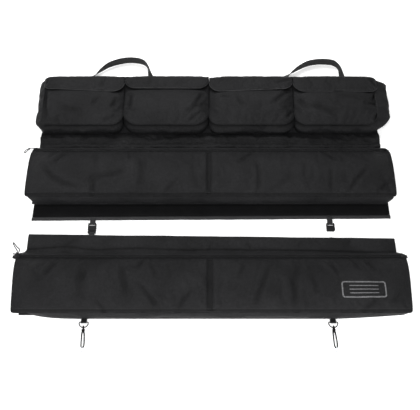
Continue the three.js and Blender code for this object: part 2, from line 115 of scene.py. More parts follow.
def cloth_mat(name, base, rough=0.72, pitch=0.0011, bump=0.35, sheen=0.25, uv=True, rib=None, spec=0.3, blotch=0.22):
    """Woven cloth: over-and-under threads, colour drift, a painted highlight on the raised threads, painted shade in
    the valleys from the mesh's shade attribute.
    """
    m, nt, b = new_mat(name)
    tc = N(nt, "ShaderNodeTexCoord")
    co = tc.outputs["UV"] if uv else tc.outputs["Object"]
    mp = N(nt, "ShaderNodeMapping")
    nt.links.new(co, mp.inputs[0])
    s = 1.0 / pitch
    mp.inputs["Scale"].default_value = (s, s, s)
    sep = N(nt, "ShaderNodeSeparateXYZ")
    nt.links.new(mp.outputs[0], sep.inputs[0])
    u, v = sep.outputs[0], sep.outputs[1]
    su = math_node(nt, "ABSOLUTE", math_node(nt, "SINE", math_node(nt, "MULTIPLY", u, math.pi)))
    sv = math_node(nt, "ABSOLUTE", math_node(nt, "SINE", math_node(nt, "MULTIPLY", v, math.pi)))
    if rib is None:
        ck = N(nt, "ShaderNodeTexChecker")
        nt.links.new(mp.outputs[0], ck.inputs[0])
        ck.inputs["Scale"].default_value = 1.0
        h = nt.nodes.new("ShaderNodeMix")
        h.data_type = "FLOAT"
        nt.links.new(ck.outputs["Fac"], h.inputs[0])
        nt.links.new(su, h.inputs[2])
        nt.links.new(sv, h.inputs[3])
        height = h.outputs[0]
    else:
        # ribbed webbing: strong ribs across, with a herringbone of fine threads
        rb = math_node(nt, "ABSOLUTE", math_node(nt, "SINE", math_node(nt, "MULTIPLY", v if rib == "v" else u, math.pi * 0.45)))
        height = math_node(nt, "ADD", math_node(nt, "MULTIPLY", rb, 0.75), math_node(nt, "MULTIPLY", su if rib == "v" else sv, 0.25))
    big = N(nt, "ShaderNodeTexNoise")
    nt.links.new(tc.outputs["Object"], big.inputs["Vector"])
    big.inputs["Scale"].default_value = 9.0
    big.inputs["Detail"].default_value = 4.0
    fine = N(nt, "ShaderNodeTexNoise")
    nt.links.new(tc.outputs["Object"], fine.inputs["Vector"])
    fine.inputs["Scale"].default_value = 420.0
    fine.inputs["Detail"].default_value = 2.0
    ramp = N(nt, "ShaderNodeMapRange")
    nt.links.new(big.outputs["Fac"], ramp.inputs[0])
    ramp.inputs[1].default_value = 0.3
    ramp.inputs[2].default_value = 0.7
    ramp.inputs[3].default_value = 1.0 - blotch
    ramp.inputs[4].default_value = 1.0 + blotch
    grain = N(nt, "ShaderNodeMapRange")
    nt.links.new(fine.outputs["Fac"], grain.inputs[0])
    grain.inputs[1].default_value = 0.3
    grain.inputs[2].default_value = 0.7
    grain.inputs[3].default_value = 0.62
    grain.inputs[4].default_value = 1.38
    mid = N(nt, "ShaderNodeTexNoise")
    nt.links.new(tc.outputs["Object"], mid.inputs["Vector"])
    mid.inputs["Scale"].default_value = 130.0
    mid.inputs["Detail"].default_value = 3.0
    # painted highlight: the weave's height lightens the colour on the raised threads, times a random tone
    thread = math_node(nt, "MULTIPLY", math_node(nt, "ADD", math_node(nt, "MULTIPLY", height, 0.5), 0.62),
                       math_node(nt, "ADD", math_node(nt, "MULTIPLY", mid.outputs["Fac"], 0.9), 0.55))
    # painted shade: the mesh's shade attribute darkens the colour in creases, seams and recesses
    sh = N(nt, "ShaderNodeAttribute", attribute_name="shade")
    painted_shade = math_node(nt, "SUBTRACT", 1.0, math_node(nt, "MULTIPLY", sh.outputs["Fac"], 0.75))
    k = math_node(nt, "MULTIPLY", math_node(nt, "MULTIPLY", ramp.outputs[0], grain.outputs[0]), math_node(nt, "MULTIPLY", thread, painted_shade))
    col = mix_col(nt, 1.0, tuple(base) + (1.0,), (1, 1, 1, 1), "MULTIPLY")
    vm = N(nt, "ShaderNodeVectorMath", operation="SCALE")
    nt.links.new(col, vm.inputs[0])
    nt.links.new(k, vm.inputs["Scale"])
    nt.links.new(vm.outputs[0], b.inputs["Base Color"])
    rr = math_node(nt, "ADD", math_node(nt, "MULTIPLY", big.outputs["Fac"], 0.16), rough - 0.08)
    nt.links.new(rr, b.inputs["Roughness"])
    b.inputs["Specular IOR Level"].default_value = spec
    b.inputs["Sheen Weight"].default_value = sheen
    b.inputs["Sheen Roughness"].default_value = 0.45
    b.inputs["Sheen Tint"].default_value = (0.75, 0.78, 0.82, 1)
    wr = N(nt, "ShaderNodeTexNoise")
    nt.links.new(tc.outputs["Object"], wr.inputs["Vector"])
    wr.inputs["Scale"].default_value = 55.0
    wr.inputs["Detail"].default_value = 3.0
    b1 = N(nt, "ShaderNodeBump")
    b1.inputs["Strength"].default_value = 0.25
    b1.inputs["Distance"].default_value = 0.0012
    nt.links.new(wr.outputs["Fac"], b1.inputs["Height"])
    b2 = N(nt, "ShaderNodeBump")
    b2.inputs["Strength"].default_value = bump
    b2.inputs["Distance"].default_value = pitch * 0.45
    nt.links.new(height, b2.inputs["Height"])
    nt.links.new(b1.outputs[0], b2.inputs["Normal"])
    nt.links.new(b2.outputs[0], b.inputs["Normal"])
    return m


def pile_mat(name, base):
    """Hook-and-loop tape: a mat of tiny dull loops."""
    m, nt, b = new_mat(name)
    tc = N(nt, "ShaderNodeTexCoord")
    vo = N(nt, "ShaderNodeTexVoronoi")
    vo.inputs["Scale"].default_value = 900.0
    nt.links.new(tc.outputs["Object"], vo.inputs["Vector"])
    no = N(nt, "ShaderNodeTexNoise")
    no.inputs["Scale"].default_value = 260.0
    no.inputs["Detail"].default_value = 5.0
    nt.links.new(tc.outputs["Object"], no.inputs["Vector"])
    lo = N(nt, "ShaderNodeTexNoise")
    lo.inputs["Scale"].default_value = 14.0
    lo.inputs["Detail"].default_value = 3.0
    nt.links.new(tc.outputs["Object"], lo.inputs["Vector"])
    f = math_node(nt, "ADD", math_node(nt, "MULTIPLY", no.outputs["Fac"], 1.3), math_node(nt, "MULTIPLY", lo.outputs["Fac"], 0.7))
    # painted shade: the mesh's shade attribute darkens the pile
    sh = N(nt, "ShaderNodeAttribute", attribute_name="shade")
    f = math_node(nt, "MULTIPLY", f, math_node(nt, "SUBTRACT", 1.0, math_node(nt, "MULTIPLY", sh.outputs["Fac"], 0.7)))
    vm = N(nt, "ShaderNodeVectorMath", operation="SCALE")
    vm.inputs[0].default_value = base
    nt.links.new(f, vm.inputs["Scale"])
    nt.links.new(vm.outputs[0], b.inputs["Base Color"])
    b.inputs["Roughness"].default_value = 0.95
    b.inputs["Specular IOR Level"].default_value = 0.04
    b.inputs["Sheen Weight"].default_value = 0.01
    bp = N(nt, "ShaderNodeBump")
    bp.inputs["Strength"].default_value = 0.8
    bp.inputs["Distance"].default_value = 0.0009
    nt.links.new(math_node(nt, "ADD", vo.outputs["Distance"], no.outputs["Fac"]), bp.inputs["Height"])
    nt.links.new(bp.outputs[0], b.inputs["Normal"])
    return m


def solid_mat(name, base, rough, metal=0.0, scratch=0.12, spec=0.5, scale=60.0, tex=0.0004):
    """Moulded plastic or metal: slight colour drift, edge wear and a fine surface."""
    m, nt, b = new_mat(name)
    tc = N(nt, "ShaderNodeTexCoord")
    no = N(nt, "ShaderNodeTexNoise")
    no.inputs["Scale"].default_value = scale
    no.inputs["Detail"].default_value = 5.0
    nt.links.new(tc.outputs["Object"], no.inputs["Vector"])
    fi = N(nt, "ShaderNodeTexNoise")
    fi.inputs["Scale"].default_value = 1500.0
    nt.links.new(tc.outputs["Object"], fi.inputs["Vector"])
    geo = N(nt, "ShaderNodeNewGeometry")
    wear = N(nt, "ShaderNodeMapRange")
    nt.links.new(geo.outputs["Pointiness"], wear.inputs[0])
    wear.inputs[1].default_value = 0.52
    wear.inputs[2].default_value = 0.62
    wear.inputs[3].default_value = 0.0
    wear.inputs[4].default_value = 0.6
    k = math_node(nt, "ADD", math_node(nt, "MULTIPLY", no.outputs["Fac"], 2 * scratch), 1.0 - scratch)
    vm = N(nt, "ShaderNodeVectorMath", operation="SCALE")
    vm.inputs[0].default_value = base
    nt.links.new(k, vm.inputs["Scale"])
    light = tuple(min(1.0, x * 1.6 + 0.02) for x in base) + (1.0,)
    col = mix_col(nt, wear.outputs[0], vm.outputs[0], light)
    nt.links.new(col, b.inputs["Base Color"])
    nt.links.new(math_node(nt, "ADD", math_node(nt, "MULTIPLY", no.outputs["Fac"], 0.2), rough - 0.1), b.inputs["Roughness"])
    b.inputs["Metallic"].default_value = metal
    b.inputs["Specular IOR Level"].default_value = spec
    bp = N(nt, "ShaderNodeBump")
    bp.inputs["Strength"].default_value = 0.3
    bp.inputs["Distance"].default_value = tex
    nt.links.new(fi.outputs["Fac"], bp.inputs["Height"])
    nt.links.new(bp.outputs[0], b.inputs["Normal"])
    return m


def cord_mat(name, base):
    """Braided elastic cord."""
    m, nt, b = new_mat(name)
    tc = N(nt, "ShaderNodeTexCoord")
    w1 = N(nt, "ShaderNodeTexWave", wave_type="BANDS", bands_direction="DIAGONAL")
    w1.inputs["Scale"].default_value = 380.0
    nt.links.new(tc.outputs["Object"], w1.inputs["Vector"])
    no = N(nt, "ShaderNodeTexNoise")
    no.inputs["Scale"].default_value = 500.0
    nt.links.new(tc.outputs["Object"], no.inputs["Vector"])
    k = math_node(nt, "ADD", math_node(nt, "MULTIPLY", w1.outputs["Fac"], 0.8), math_node(nt, "MULTIPLY", no.outputs["Fac"], 0.5))
    vm = N(nt, "ShaderNodeVectorMath", operation="SCALE")
    vm.inputs[0].default_value = base
    nt.links.new(k, vm.inputs["Scale"])
    nt.links.new(vm.outputs[0], b.inputs["Base Color"])
    b.inputs["Roughness"].default_value = 0.75
    b.inputs["Specular IOR Level"].default_value = 0.15
    b.inputs["Sheen Weight"].default_value = 0.02
    bp = N(nt, "ShaderNodeBump")
    bp.inputs["Strength"].default_value = 0.6
    bp.inputs["Distance"].default_value = 0.0004
    nt.links.new(w1.outputs["Fac"], bp.inputs["Height"])
    nt.links.new(bp.outputs[0], b.inputs["Normal"])
    return m


M = {
    "shell": cloth_mat("shell_cloth_m", (0.0104, 0.0104, 0.0110), rough=0.62, pitch=0.0012, bump=0.45, sheen=0.01, spec=0.075),
    "panel": cloth_mat("panel_cloth_m", (0.013, 0.013, 0.0138), rough=0.7, pitch=0.0012, bump=0.4, sheen=0.015, spec=0.13),
    "lining": cloth_mat("lining_cloth_m", (0.011, 0.011, 0.012), rough=0.8, pitch=0.0008, bump=0.25, sheen=0.01, spec=0.12),
    "web": cloth_mat("webbing_m", (0.011, 0.011, 0.0118), rough=0.58, pitch=0.0016, bump=0.8, sheen=0.02, rib="v", spec=0.2, blotch=0.12),
    "bind": cloth_mat("binding_m", (0.019, 0.019, 0.020), rough=0.55, pitch=0.0009, bump=0.7, sheen=0.02, rib="u", spec=0.2, blotch=0.15),
    "tape": cloth_mat("zip_tape_m", (0.006, 0.006, 0.0065), rough=0.8, pitch=0.0009, bump=0.5, sheen=0.01, rib="v", spec=0.1),
    "thread": cloth_mat("thread_m", (0.018, 0.018, 0.019), rough=0.5, pitch=0.0006, bump=0.2, sheen=0.02, uv=False, spec=0.2),
    "label": cloth_mat("label_m", (0.10, 0.10, 0.103), rough=0.7, pitch=0.0009, bump=0.5, sheen=0.03, spec=0.15),
    "pile": pile_mat("pile_m", (0.0042, 0.0042, 0.0045)),
    "plastic": solid_mat("plastic_m", (0.005, 0.005, 0.0053), 0.5, spec=0.14),
    "coil": solid_mat("coil_m", (0.006, 0.006, 0.0065), 0.4, spec=0.25),
    "zinc": solid_mat("zip_metal_m", (0.009, 0.009, 0.0095), 0.45, metal=0.35, scratch=0.2, spec=0.2),
    "steel": solid_mat("hook_wire_m", (0.55, 0.56, 0.58), 0.28, metal=1.0, scratch=0.2),
    "cord": cord_mat("cord_m", (0.0028, 0.0028, 0.003)),
}

# ------------------------------------------------------------------ mesh tools


def world(p):
    p = np.asarray(p, float).reshape(-1, 3).copy()
    p[:, 1] -= OY
    return p / 1000.0


def local(o):
    """Mesh vertices back in layout millimetres."""
    co = np.zeros(len(o.data.vertices) * 3)
    o.data.vertices.foreach_get("co", co)
    co = co.reshape(-1, 3) * 1000.0
    co[:, 1] += OY
    return co


def put(o, p):
    o.data.vertices.foreach_set("co", world(p).ravel())
    o.data.update()


def make(name, verts, faces, mat=None, uv=None, shade=None, smooth=True):
    me = bpy.data.meshes.new(name)
    me.from_pydata(world(verts).tolist(), [], [tuple(int(i) for i in f) for f in faces])
    me.validate()
    if uv is not None:
        uvl = me.uv_layers.new(name="UVMap")
        li = np.zeros(len(me.loops), int)
        me.loops.foreach_get("vertex_index", li)
        uvl.data.foreach_set("uv", (np.asarray(uv, float)[li] / 1000.0).ravel())
    a = me.attributes.new("shade", "FLOAT", "POINT")
    if shade is not None:
        a.data.foreach_set("value", np.asarray(shade, np.float32))
    if smooth:
        me.polygons.foreach_set("use_smooth", [True] * len(me.polygons))
    o = bpy.data.objects.new(name, me)
    scene.collection.objects.link(o)
    if mat is not None:
        me.materials.append(M[mat])
    return o


def set_shade(o, values):
    o.data.attributes["shade"].data.foreach_set("value", np.clip(values, 0, 1).astype(np.float32))


def get_shade(o):
    v = np.zeros(len(o.data.vertices), np.float32)
    o.data.attributes["shade"].data.foreach_get("value", v)
    return v


def bake(o):
    """Apply every modifier into the mesh."""
    bpy.context.view_layer.update()
    dg = bpy.context.evaluated_depsgraph_get()
    me = bpy.data.meshes.new_from_object(o.evaluated_get(dg), preserve_all_data_layers=True, depsgraph=dg)
    old = o.data
    o.modifiers.clear()
    o.data = me
    me.name = o.name
    bpy.data.meshes.remove(old)
    me.polygons.foreach_set("use_smooth", [True] * len(me.polygons))
    return o


def resample(pts, step, closed=True):
    pts = np.asarray(pts, float)
    if closed:
        pts = np.vstack([pts, pts[:1]])
    seg = np.linalg.norm(np.diff(pts, axis=0), axis=1)
    keep = np.concatenate([[True], seg > 1e-6])
    pts = pts[keep]
    seg = np.linalg.norm(np.diff(pts, axis=0), axis=1)
    t = np.concatenate([[0], np.cumsum(seg)])
    n = max(3, int(round(t[-1] / step)))
    q = np.linspace(0, t[-1], n + 1)
    out = np.stack([np.interp(q, t, pts[:, k]) for k in range(pts.shape[1])], 1)
    return out[:-1] if closed else out


def inside(poly, p):
    x, y = p[:, 0], p[:, 1]
    res = np.zeros(len(p), bool)
    n = len(poly)
    j = n - 1
    for i in range(n):
        xi, yi = poly[i]
        xj, yj = poly[j]
        hit = ((yi > y) != (yj > y)) & (x < (xj - xi) * (y - yi) / (yj - yi + 1e-12) + xi)
        res ^= hit
        j = i
    return res


def edge_distance(poly, p, closed=True):
    n = len(poly)
    best = np.full(len(p), 1e9)
    for i in range(n if closed else n - 1):
        a, b = poly[i], poly[(i + 1) % n]
        d = b - a
        t = np.clip(((p - a) @ d) / max(d @ d, 1e-9), 0, 1)
        best = np.minimum(best, np.linalg.norm(p - (a + t[:, None] * d), axis=1))
    return best


def panel(outline, step):
    """Flat pattern piece filled with even triangles: points, triangles, and how many points are on its edge."""
    poly = resample(outline, step)
    lo, hi = poly.min(0), poly.max(0)
    hx, hy = step, step * 0.866
    xs = np.arange(lo[0], hi[0] + hx, hx)
    ys = np.arange(lo[1] + hy * 0.5, hi[1], hy)
    grid = np.array([(x + (hx / 2 if k % 2 else 0), y) for k, y in enumerate(ys) for x in xs])
    grid = grid[inside(poly, grid)]
    coarse = poly[:: max(1, len(poly) // 400)]
    grid = grid[edge_distance(poly, grid) > step * 0.55] if len(poly) < 900 else grid[edge_distance(coarse, grid) > step * 0.55]
    pts = np.vstack([poly, grid])
    n = len(poly)
    r = delaunay_2d_cdt([Vector(p) for p in pts], [(i, (i + 1) % n) for i in range(n)], [], 1, 1e-5)
    v = np.array([tuple(c) for c in r[0]])
    tris = []
    for f in r[2]:
        a, b, c = v[f[0]], v[f[1]], v[f[2]]
        s = (b[0] - a[0]) * (c[1] - a[1]) - (b[1] - a[1]) * (c[0] - a[0])
        if abs(s) < 1e-6:
            continue
        tris.append(tuple(f) if s > 0 else (f[0], f[2], f[1]))
    order = [o[0] for o in r[3]]
    # keep the edge points first and in order
    perm = np.argsort([o if o >= 0 else 1e9 for o in order])
    inv = np.empty_like(perm)
    inv[perm] = np.arange(len(perm))
    return v[perm], [tuple(inv[i] for i in t) for t in tris], n


def spline(points, n=160):
    """Smooth open profile through points, evenly spaced."""
    p = np.asarray(points, float)
    q = np.vstack([2 * p[0] - p[1], p, 2 * p[-1] - p[-2]])
    out = []
    for i in range(1, len(q) - 2):
        a, b, c, d = q[i - 1], q[i], q[i + 1], q[i + 2]
        for t in np.linspace(0, 1, 24, endpoint=False):
            out.append(0.5 * ((2 * b) + (c - a) * t + (2 * a - 5 * b + 4 * c - d) * t * t + (3 * b - a - 3 * c + d) * t ** 3))
    out.append(p[-1])
    out = np.array(out)
    t = np.concatenate([[0], np.cumsum(np.linalg.norm(np.diff(out, axis=0), axis=1))])
    q = np.linspace(0, t[-1], n)
    return np.stack([np.interp(q, t, out[:, k]) for k in range(out.shape[1])], 1), t[-1]


def on_profile(prof, length, s):
    q = np.linspace(0, length, len(prof))
    s = np.asarray(s, float)
    return np.interp(s, q, prof[:, 0]), np.interp(s, q, prof[:, 1])


def normals(o):
    n = np.zeros(len(o.data.vertices) * 3)
    o.data.vertices.foreach_get("normal", n)
    return n.reshape(-1, 3)


def fbm(p, scale, seed=0.0, octaves=3):
    out = np.empty(len(p))
    for i, q in enumerate(p):
        v = Vector((q[0] * scale + seed, q[1] * scale - seed * 0.7, (q[2] if len(q) > 2 else 0.0) * scale + seed * 0.3))
        out[i] = noise.fractal(v, 0.9, 2.1, octaves)
    return out


def strokes(o, flat, marks, painted_shade=0.5):
    """Soft folds pressed into a panel, with painted shade in their valleys. Each mark: path in pattern coordinates,
    half width, depth (minus is a valley).
    """
    p = local(o)
    nn = normals(o)
    move = np.zeros(len(p))
    sh = get_shade(o).astype(float)
    for path, width, depth in marks:
        path = np.asarray(path, float)
        d = edge_distance(path, flat[:, :2], closed=False)
        ends = np.minimum(np.linalg.norm(flat[:, :2] - path[0], axis=1), np.linalg.norm(flat[:, :2] - path[-1], axis=1))
        total = np.linalg.norm(np.diff(path, axis=0), axis=1).sum()
        # along-path fade
        fade = np.clip(ends / (0.22 * total + 1e-6), 0, 1) ** 0.7
        fade = np.where(d < width * 3, np.maximum(fade, 0.15), 0)
        g = np.exp(-(d / width) ** 2) * fade
        depth = depth * 1.45
        move += depth * g
        # a fold throws up a low ridge beside its valley
        ridge = np.exp(-((d - 1.9 * width) / (1.1 * width)) ** 2) * fade
        move -= 0.28 * depth * ridge
        # painted shade in the valley
        if depth < 0:
            sh += painted_shade * g * min(1.0, abs(depth) / 3.0)
    put(o, p + nn * move[:, None])
    set_shade(o, sh)


def simulate(o, pinned, frames=16, pressure=1.5, grow=0.02, cap=8.0, bending=0.6, tension=18.0, gravity=0.0, damping=1.0, keep=None):
    """Drape one pattern piece with Blender's cloth solver, and hold each point near its pattern."""
    before = local(o)
    vg = o.vertex_groups.new(name="pin")
    vg.add([int(i) for i in pinned], 1.0, "REPLACE")
    c = o.modifiers.new("Cloth", "CLOTH")
    s = c.settings
    s.quality = 5
    s.mass = 0.25
    s.tension_stiffness = tension
    s.compression_stiffness = tension
    s.shear_stiffness = tension * 0.5
    s.bending_stiffness = bending
    s.tension_damping = 8
    s.compression_damping = 8
    s.shear_damping = 8
    s.air_damping = damping
    s.vertex_group_mass = "pin"
    s.pin_stiffness = 1.0
    s.use_pressure = True
    s.uniform_pressure_force = pressure
    s.shrink_min = -grow
    s.effector_weights.gravity = gravity
    c.collision_settings.use_collision = False
    c.collision_settings.use_self_collision = False
    c.point_cache.frame_start = 1
    c.point_cache.frame_end = frames
    for f in range(1, frames + 1):
        scene.frame_set(f)
    dg = bpy.context.evaluated_depsgraph_get()
    ev = o.evaluated_get(dg)
    me = ev.to_mesh()
    co = np.zeros(len(me.vertices) * 3)
    me.vertices.foreach_get("co", co)
    ev.to_mesh_clear()
    co = co.reshape(-1, 3) * 1000.0
    co[:, 1] += OY
    o.modifiers.clear()
    o.vertex_groups.clear()
    scene.frame_set(1)
    d = co - before
    d[~np.isfinite(d).all(1)] = 0
    length = np.linalg.norm(d, axis=1)
    lim = cap if np.isscalar(cap) else np.asarray(cap)
    k = np.where(length > 1e-9, np.tanh(length / lim) * lim / np.maximum(length, 1e-9), 1.0)
    if keep is not None:
        d = d * keep[:, None]
    put(o, before + d * k[:, None])


def thicken(o, t, levels=1, side=-1.0):
    """Round the cloth off and give it its thickness."""
    if levels:
        m = o.modifiers.new("s", "SUBSURF")
        m.levels = m.render_levels = levels
        m.boundary_smooth = "ALL"
    m = o.modifiers.new("t", "SOLIDIFY")
    m.thickness = t / 1000.0
    m.offset = side
    m.use_quality_normals = True
    return bake(o)


def tube(name, path, r, mat, radial=8, closed=False, flat=None, shade=None, step=None, caps=True):
    """Round cord, piping or bar along a path; flat=(a, b) makes it an ellipse with b along its local up."""
    p = np.asarray(path, float)
    if step:
        p = resample(p, step, closed)
    n = len(p)
    nxt = np.roll(p, -1, 0) if closed else np.vstack([p[1:], p[-1:]])
    prv = np.roll(p, 1, 0) if closed else np.vstack([p[:1], p[:-1]])
    tan = nxt - prv
    tan /= np.linalg.norm(tan, axis=1)[:, None] + 1e-12
    up = np.array([0.0, 0.0, 1.0])
    if abs(tan[0] @ up) > 0.9:
        up = np.array([1.0, 0.0, 0.0])
    a = np.cross(tan[0], up)
    a /= np.linalg.norm(a)
    A = [a]
    for i in range(1, n):
        v = A[-1] - tan[i] * (A[-1] @ tan[i])
        v /= np.linalg.norm(v) + 1e-12
        A.append(v)
    A = np.array(A)
    if closed:
        # spread the leftover twist round the loop
        v = A[-1] - tan[0] * (A[-1] @ tan[0])
        v /= np.linalg.norm(v)
        ang = math.atan2(np.cross(v, A[0]) @ tan[0], v @ A[0])
        for i in range(n):
            q = ang * i / n
            b = np.cross(tan[i], A[i])
            A[i] = A[i] * math.cos(q) + b * math.sin(q)
    B = np.cross(tan, A)
    ra, rb = flat if flat else (r, r)
    ra = np.broadcast_to(np.asarray(ra, float), (n,))
    rb = np.broadcast_to(np.asarray(rb, float), (n,))
    rings = []
    for k in range(radial):
        t = 2 * math.pi * k / radial
        rings.append(p + A * (ra * math.cos(t))[:, None] + B * (rb * math.sin(t))[:, None])
    v = np.stack(rings, 1).reshape(-1, 3)
    faces = []
    for i in range(n if closed else n - 1):
        j = (i + 1) % n
        for k in range(radial):
            k2 = (k + 1) % radial
            faces.append((i * radial + k, i * radial + k2, j * radial + k2, j * radial + k))
    if not closed and caps:
        faces.append(tuple(range(radial))[::-1])
        faces.append(tuple((n - 1) * radial + k for k in range(radial)))
    run = np.concatenate([[0], np.cumsum(np.linalg.norm(np.diff(p, axis=0), axis=1))])
    uv = np.stack([np.tile(np.arange(radial) * 2 * math.pi * r / radial, n), np.repeat(run, radial)], 1)
    sh = None if shade is None else np.full(len(v), shade)
    o = make(name, v, faces, mat, uv, sh)
    fix_normals(o)
    return o


def fix_normals(o):
    bm = bmesh.new()
    bm.from_mesh(o.data)
    bmesh.ops.recalc_face_normals(bm, faces=bm.faces)
    bm.to_mesh(o.data)
    bm.free()


def ribbon(name, pts, wide, width, t, mat, closed=False):
    """Flat webbing along pts, its width along wide, with rounded long edges."""
    p = np.asarray(pts, float)
    n = len(p)
    w = np.asarray(wide, float)
    width = np.broadcast_to(np.asarray(width, float), (n,))
    tan = np.gradient(p, axis=0)
    tan /= np.linalg.norm(tan, axis=1)[:, None]
    w = w - tan * np.sum(w * tan, axis=1)[:, None]
    w /= np.linalg.norm(w, axis=1)[:, None]
    up = np.cross(tan, w)
    prof = []
    h = t / 2
    cols = 7
    for k in range(cols):
        prof.append((-1 + 2 * k / (cols - 1), h))
    prof.append((1.0 + 0.35 * h / 10, 0))
    for k in range(cols):
        prof.append((1 - 2 * k / (cols - 1), -h))
    prof.append((-1.0 - 0.35 * h / 10, 0))
    v, uv = [], []
    run = np.concatenate([[0], np.cumsum(np.linalg.norm(np.diff(p, axis=0), axis=1))])
    for i in range(n):
        for a, b in prof:
            edge = 0.82 if abs(abs(a) - 1) < 0.02 and b != 0 else 1.0
            v.append(p[i] + w[i] * (a * width[i] / 2) + up[i] * b * edge)
            uv.append((a * width[i] / 2, run[i]))
    m = len(prof)
    faces = []
    for i in range(n - 1):
        for k in range(m):
            k2 = (k + 1) % m
            faces.append((i * m + k, i * m + k2, (i + 1) * m + k2, (i + 1) * m + k))
    faces.append(tuple(range(m))[::-1])
    faces.append(tuple((n - 1) * m + k for k in range(m)))
    o = make(name, v, faces, mat, uv)
    fix_normals(o)
    return o


def tree(o):
    dg = bpy.context.evaluated_depsgraph_get()
    bm = bmesh.new()
    bm.from_mesh(o.data)
    t = BVHTree.FromBMesh(bm)
    bm.free()
    return t


def drop(t, x, y, lift=0.0, default=0.0, frm=250.0):
    """Height of a cloth surface under (x, y), in layout millimetres, with its normal."""
    hit = t.ray_cast(Vector((x / 1000.0, (y - OY) / 1000.0, frm / 1000.0)), Vector((0, 0, -1)))
    if hit[0] is None:
        return default, np.array([0, 0, 1.0])
    return hit[0].z * 1000.0 + lift, np.array(hit[1])


def stitches(name, path, ups, mat="thread", pitch=5.2, length=3.3, w=0.55, h=0.4, body=None):
    """A run of lockstitches: one little rounded bar per stitch, lying along the path on its surface."""
    p = np.asarray(path, float)
    ups = np.asarray(ups, float)
    run = np.concatenate([[0], np.cumsum(np.linalg.norm(np.diff(p, axis=0), axis=1))])
    n = int(run[-1] / pitch)
    if n < 1:
        return None
    centre = (np.arange(n) + 0.5) * pitch
    at = lambda s, a: np.stack([np.interp(s, run, a[:, k]) for k in range(3)], 1)
    c, a, b, u = at(centre, p), at(centre - length / 2, p), at(centre + length / 2, p), at(centre, ups)
    d = b - a
    d /= np.linalg.norm(d, axis=1)[:, None] + 1e-9
    side = np.cross(u, d)
    side /= np.linalg.norm(side, axis=1)[:, None] + 1e-9
    ring = [(-1.0, 0.0), (-0.62, 0.85), (0.62, 0.85), (1.0, 0.0)]
    v, f = [], []
    for i in range(n):
        base = len(v)
        for e, k in ((a[i], 0.55), (c[i], 1.0), (b[i], 0.55)):
            for q, z in ring:
                v.append(e + side[i] * q * w * k + u[i] * (z * h * k + 0.12) - u[i] * 0.25 * (1 - k))
        for r0 in (0, 4):
            for k in range(4):
                k2 = (k + 1) % 4
                f.append((base + r0 + k, base + r0 + k2, base + r0 + 4 + k2, base + r0 + 4 + k))
        f.append((base + 3, base + 2, base + 1, base))
        f.append((base + 8, base + 9, base + 10, base + 11))
    o = make(name, v, f, mat, smooth=True)
    fix_normals(o)
    return o


BODY_OF = {}


def on(o, body, slot, *nodes):
    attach(o, body)
    if nodes:
        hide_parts(*nodes)
    return o


def px(x, y, z=0.0, y0=0.0):
    """Layout point (mm) that sits at this picture position when it lies at height z (mm)."""
    k = (205.0 - y) / 642.0
    c, s = math.cos(math.radians(28)), math.sin(math.radians(28))
    zz = z / 1000.0
    Yw = (k * (2.45 - zz * c) - zz * s) / (c - k * s)
    depth = 2.45 + Yw * s - zz * c
    return np.array([(x - 210.0) * depth / 642.0 * 1000.0, Yw * 1000.0])


def grid(name, P, mat, t=1.4, levels=1, flip=False, shade=None, thick=True, uv=None):
    """Cloth strip from rows of points P[u][v]."""
    P = np.asarray(P, float)
    nu, nv = P.shape[:2]
    idx = np.arange(nu * nv).reshape(nu, nv)
    f = np.stack([idx[:-1, :-1], idx[1:, :-1], idx[1:, 1:], idx[:-1, 1:]], -1).reshape(-1, 4)
    if flip:
        f = f[:, ::-1]
    if uv is None:
        lu = np.concatenate([[0], np.cumsum(np.linalg.norm(np.diff(P[:, nv // 2], axis=0), axis=1))])
        lv = np.concatenate([[0], np.cumsum(np.linalg.norm(np.diff(P[nu // 2], axis=0), axis=1))])
        uv = np.stack(np.meshgrid(lu, lv, indexing="ij"), -1).reshape(-1, 2)
    o = make(name, P.reshape(-1, 3), f, mat, uv, None if shade is None else np.asarray(shade).reshape(-1))
    return thicken(o, t, levels) if thick else o


def refine(o, levels=1):
    m = o.modifiers.new("s", "SUBSURF")
    m.levels = m.render_levels = levels
    m.boundary_smooth = "ALL"
    return bake(o)


def rounded(x0, x1, y0, y1, radii, n=7):
    """Rectangle with rounded corners, anticlockwise from the low left; radii low-left, low-right, high-right, high-left."""
    ll, lr, hr, hl = radii
    out = []
    for cx, cy, r, a0 in ((x0 + ll, y0 + ll, ll, 180), (x1 - lr, y0 + lr, lr, 270), (x1 - hr, y1 - hr, hr, 0), (x0 + hl, y1 - hl, hl, 90)):
        for k in range(n + 1):
            a = math.radians(a0 + 90 * k / n)
            out.append((cx + r * math.cos(a), cy + r * math.sin(a)))
    return out


def smooth(t):
    t = np.clip(t, 0, 1)
    return t * t * (3 - 2 * t)


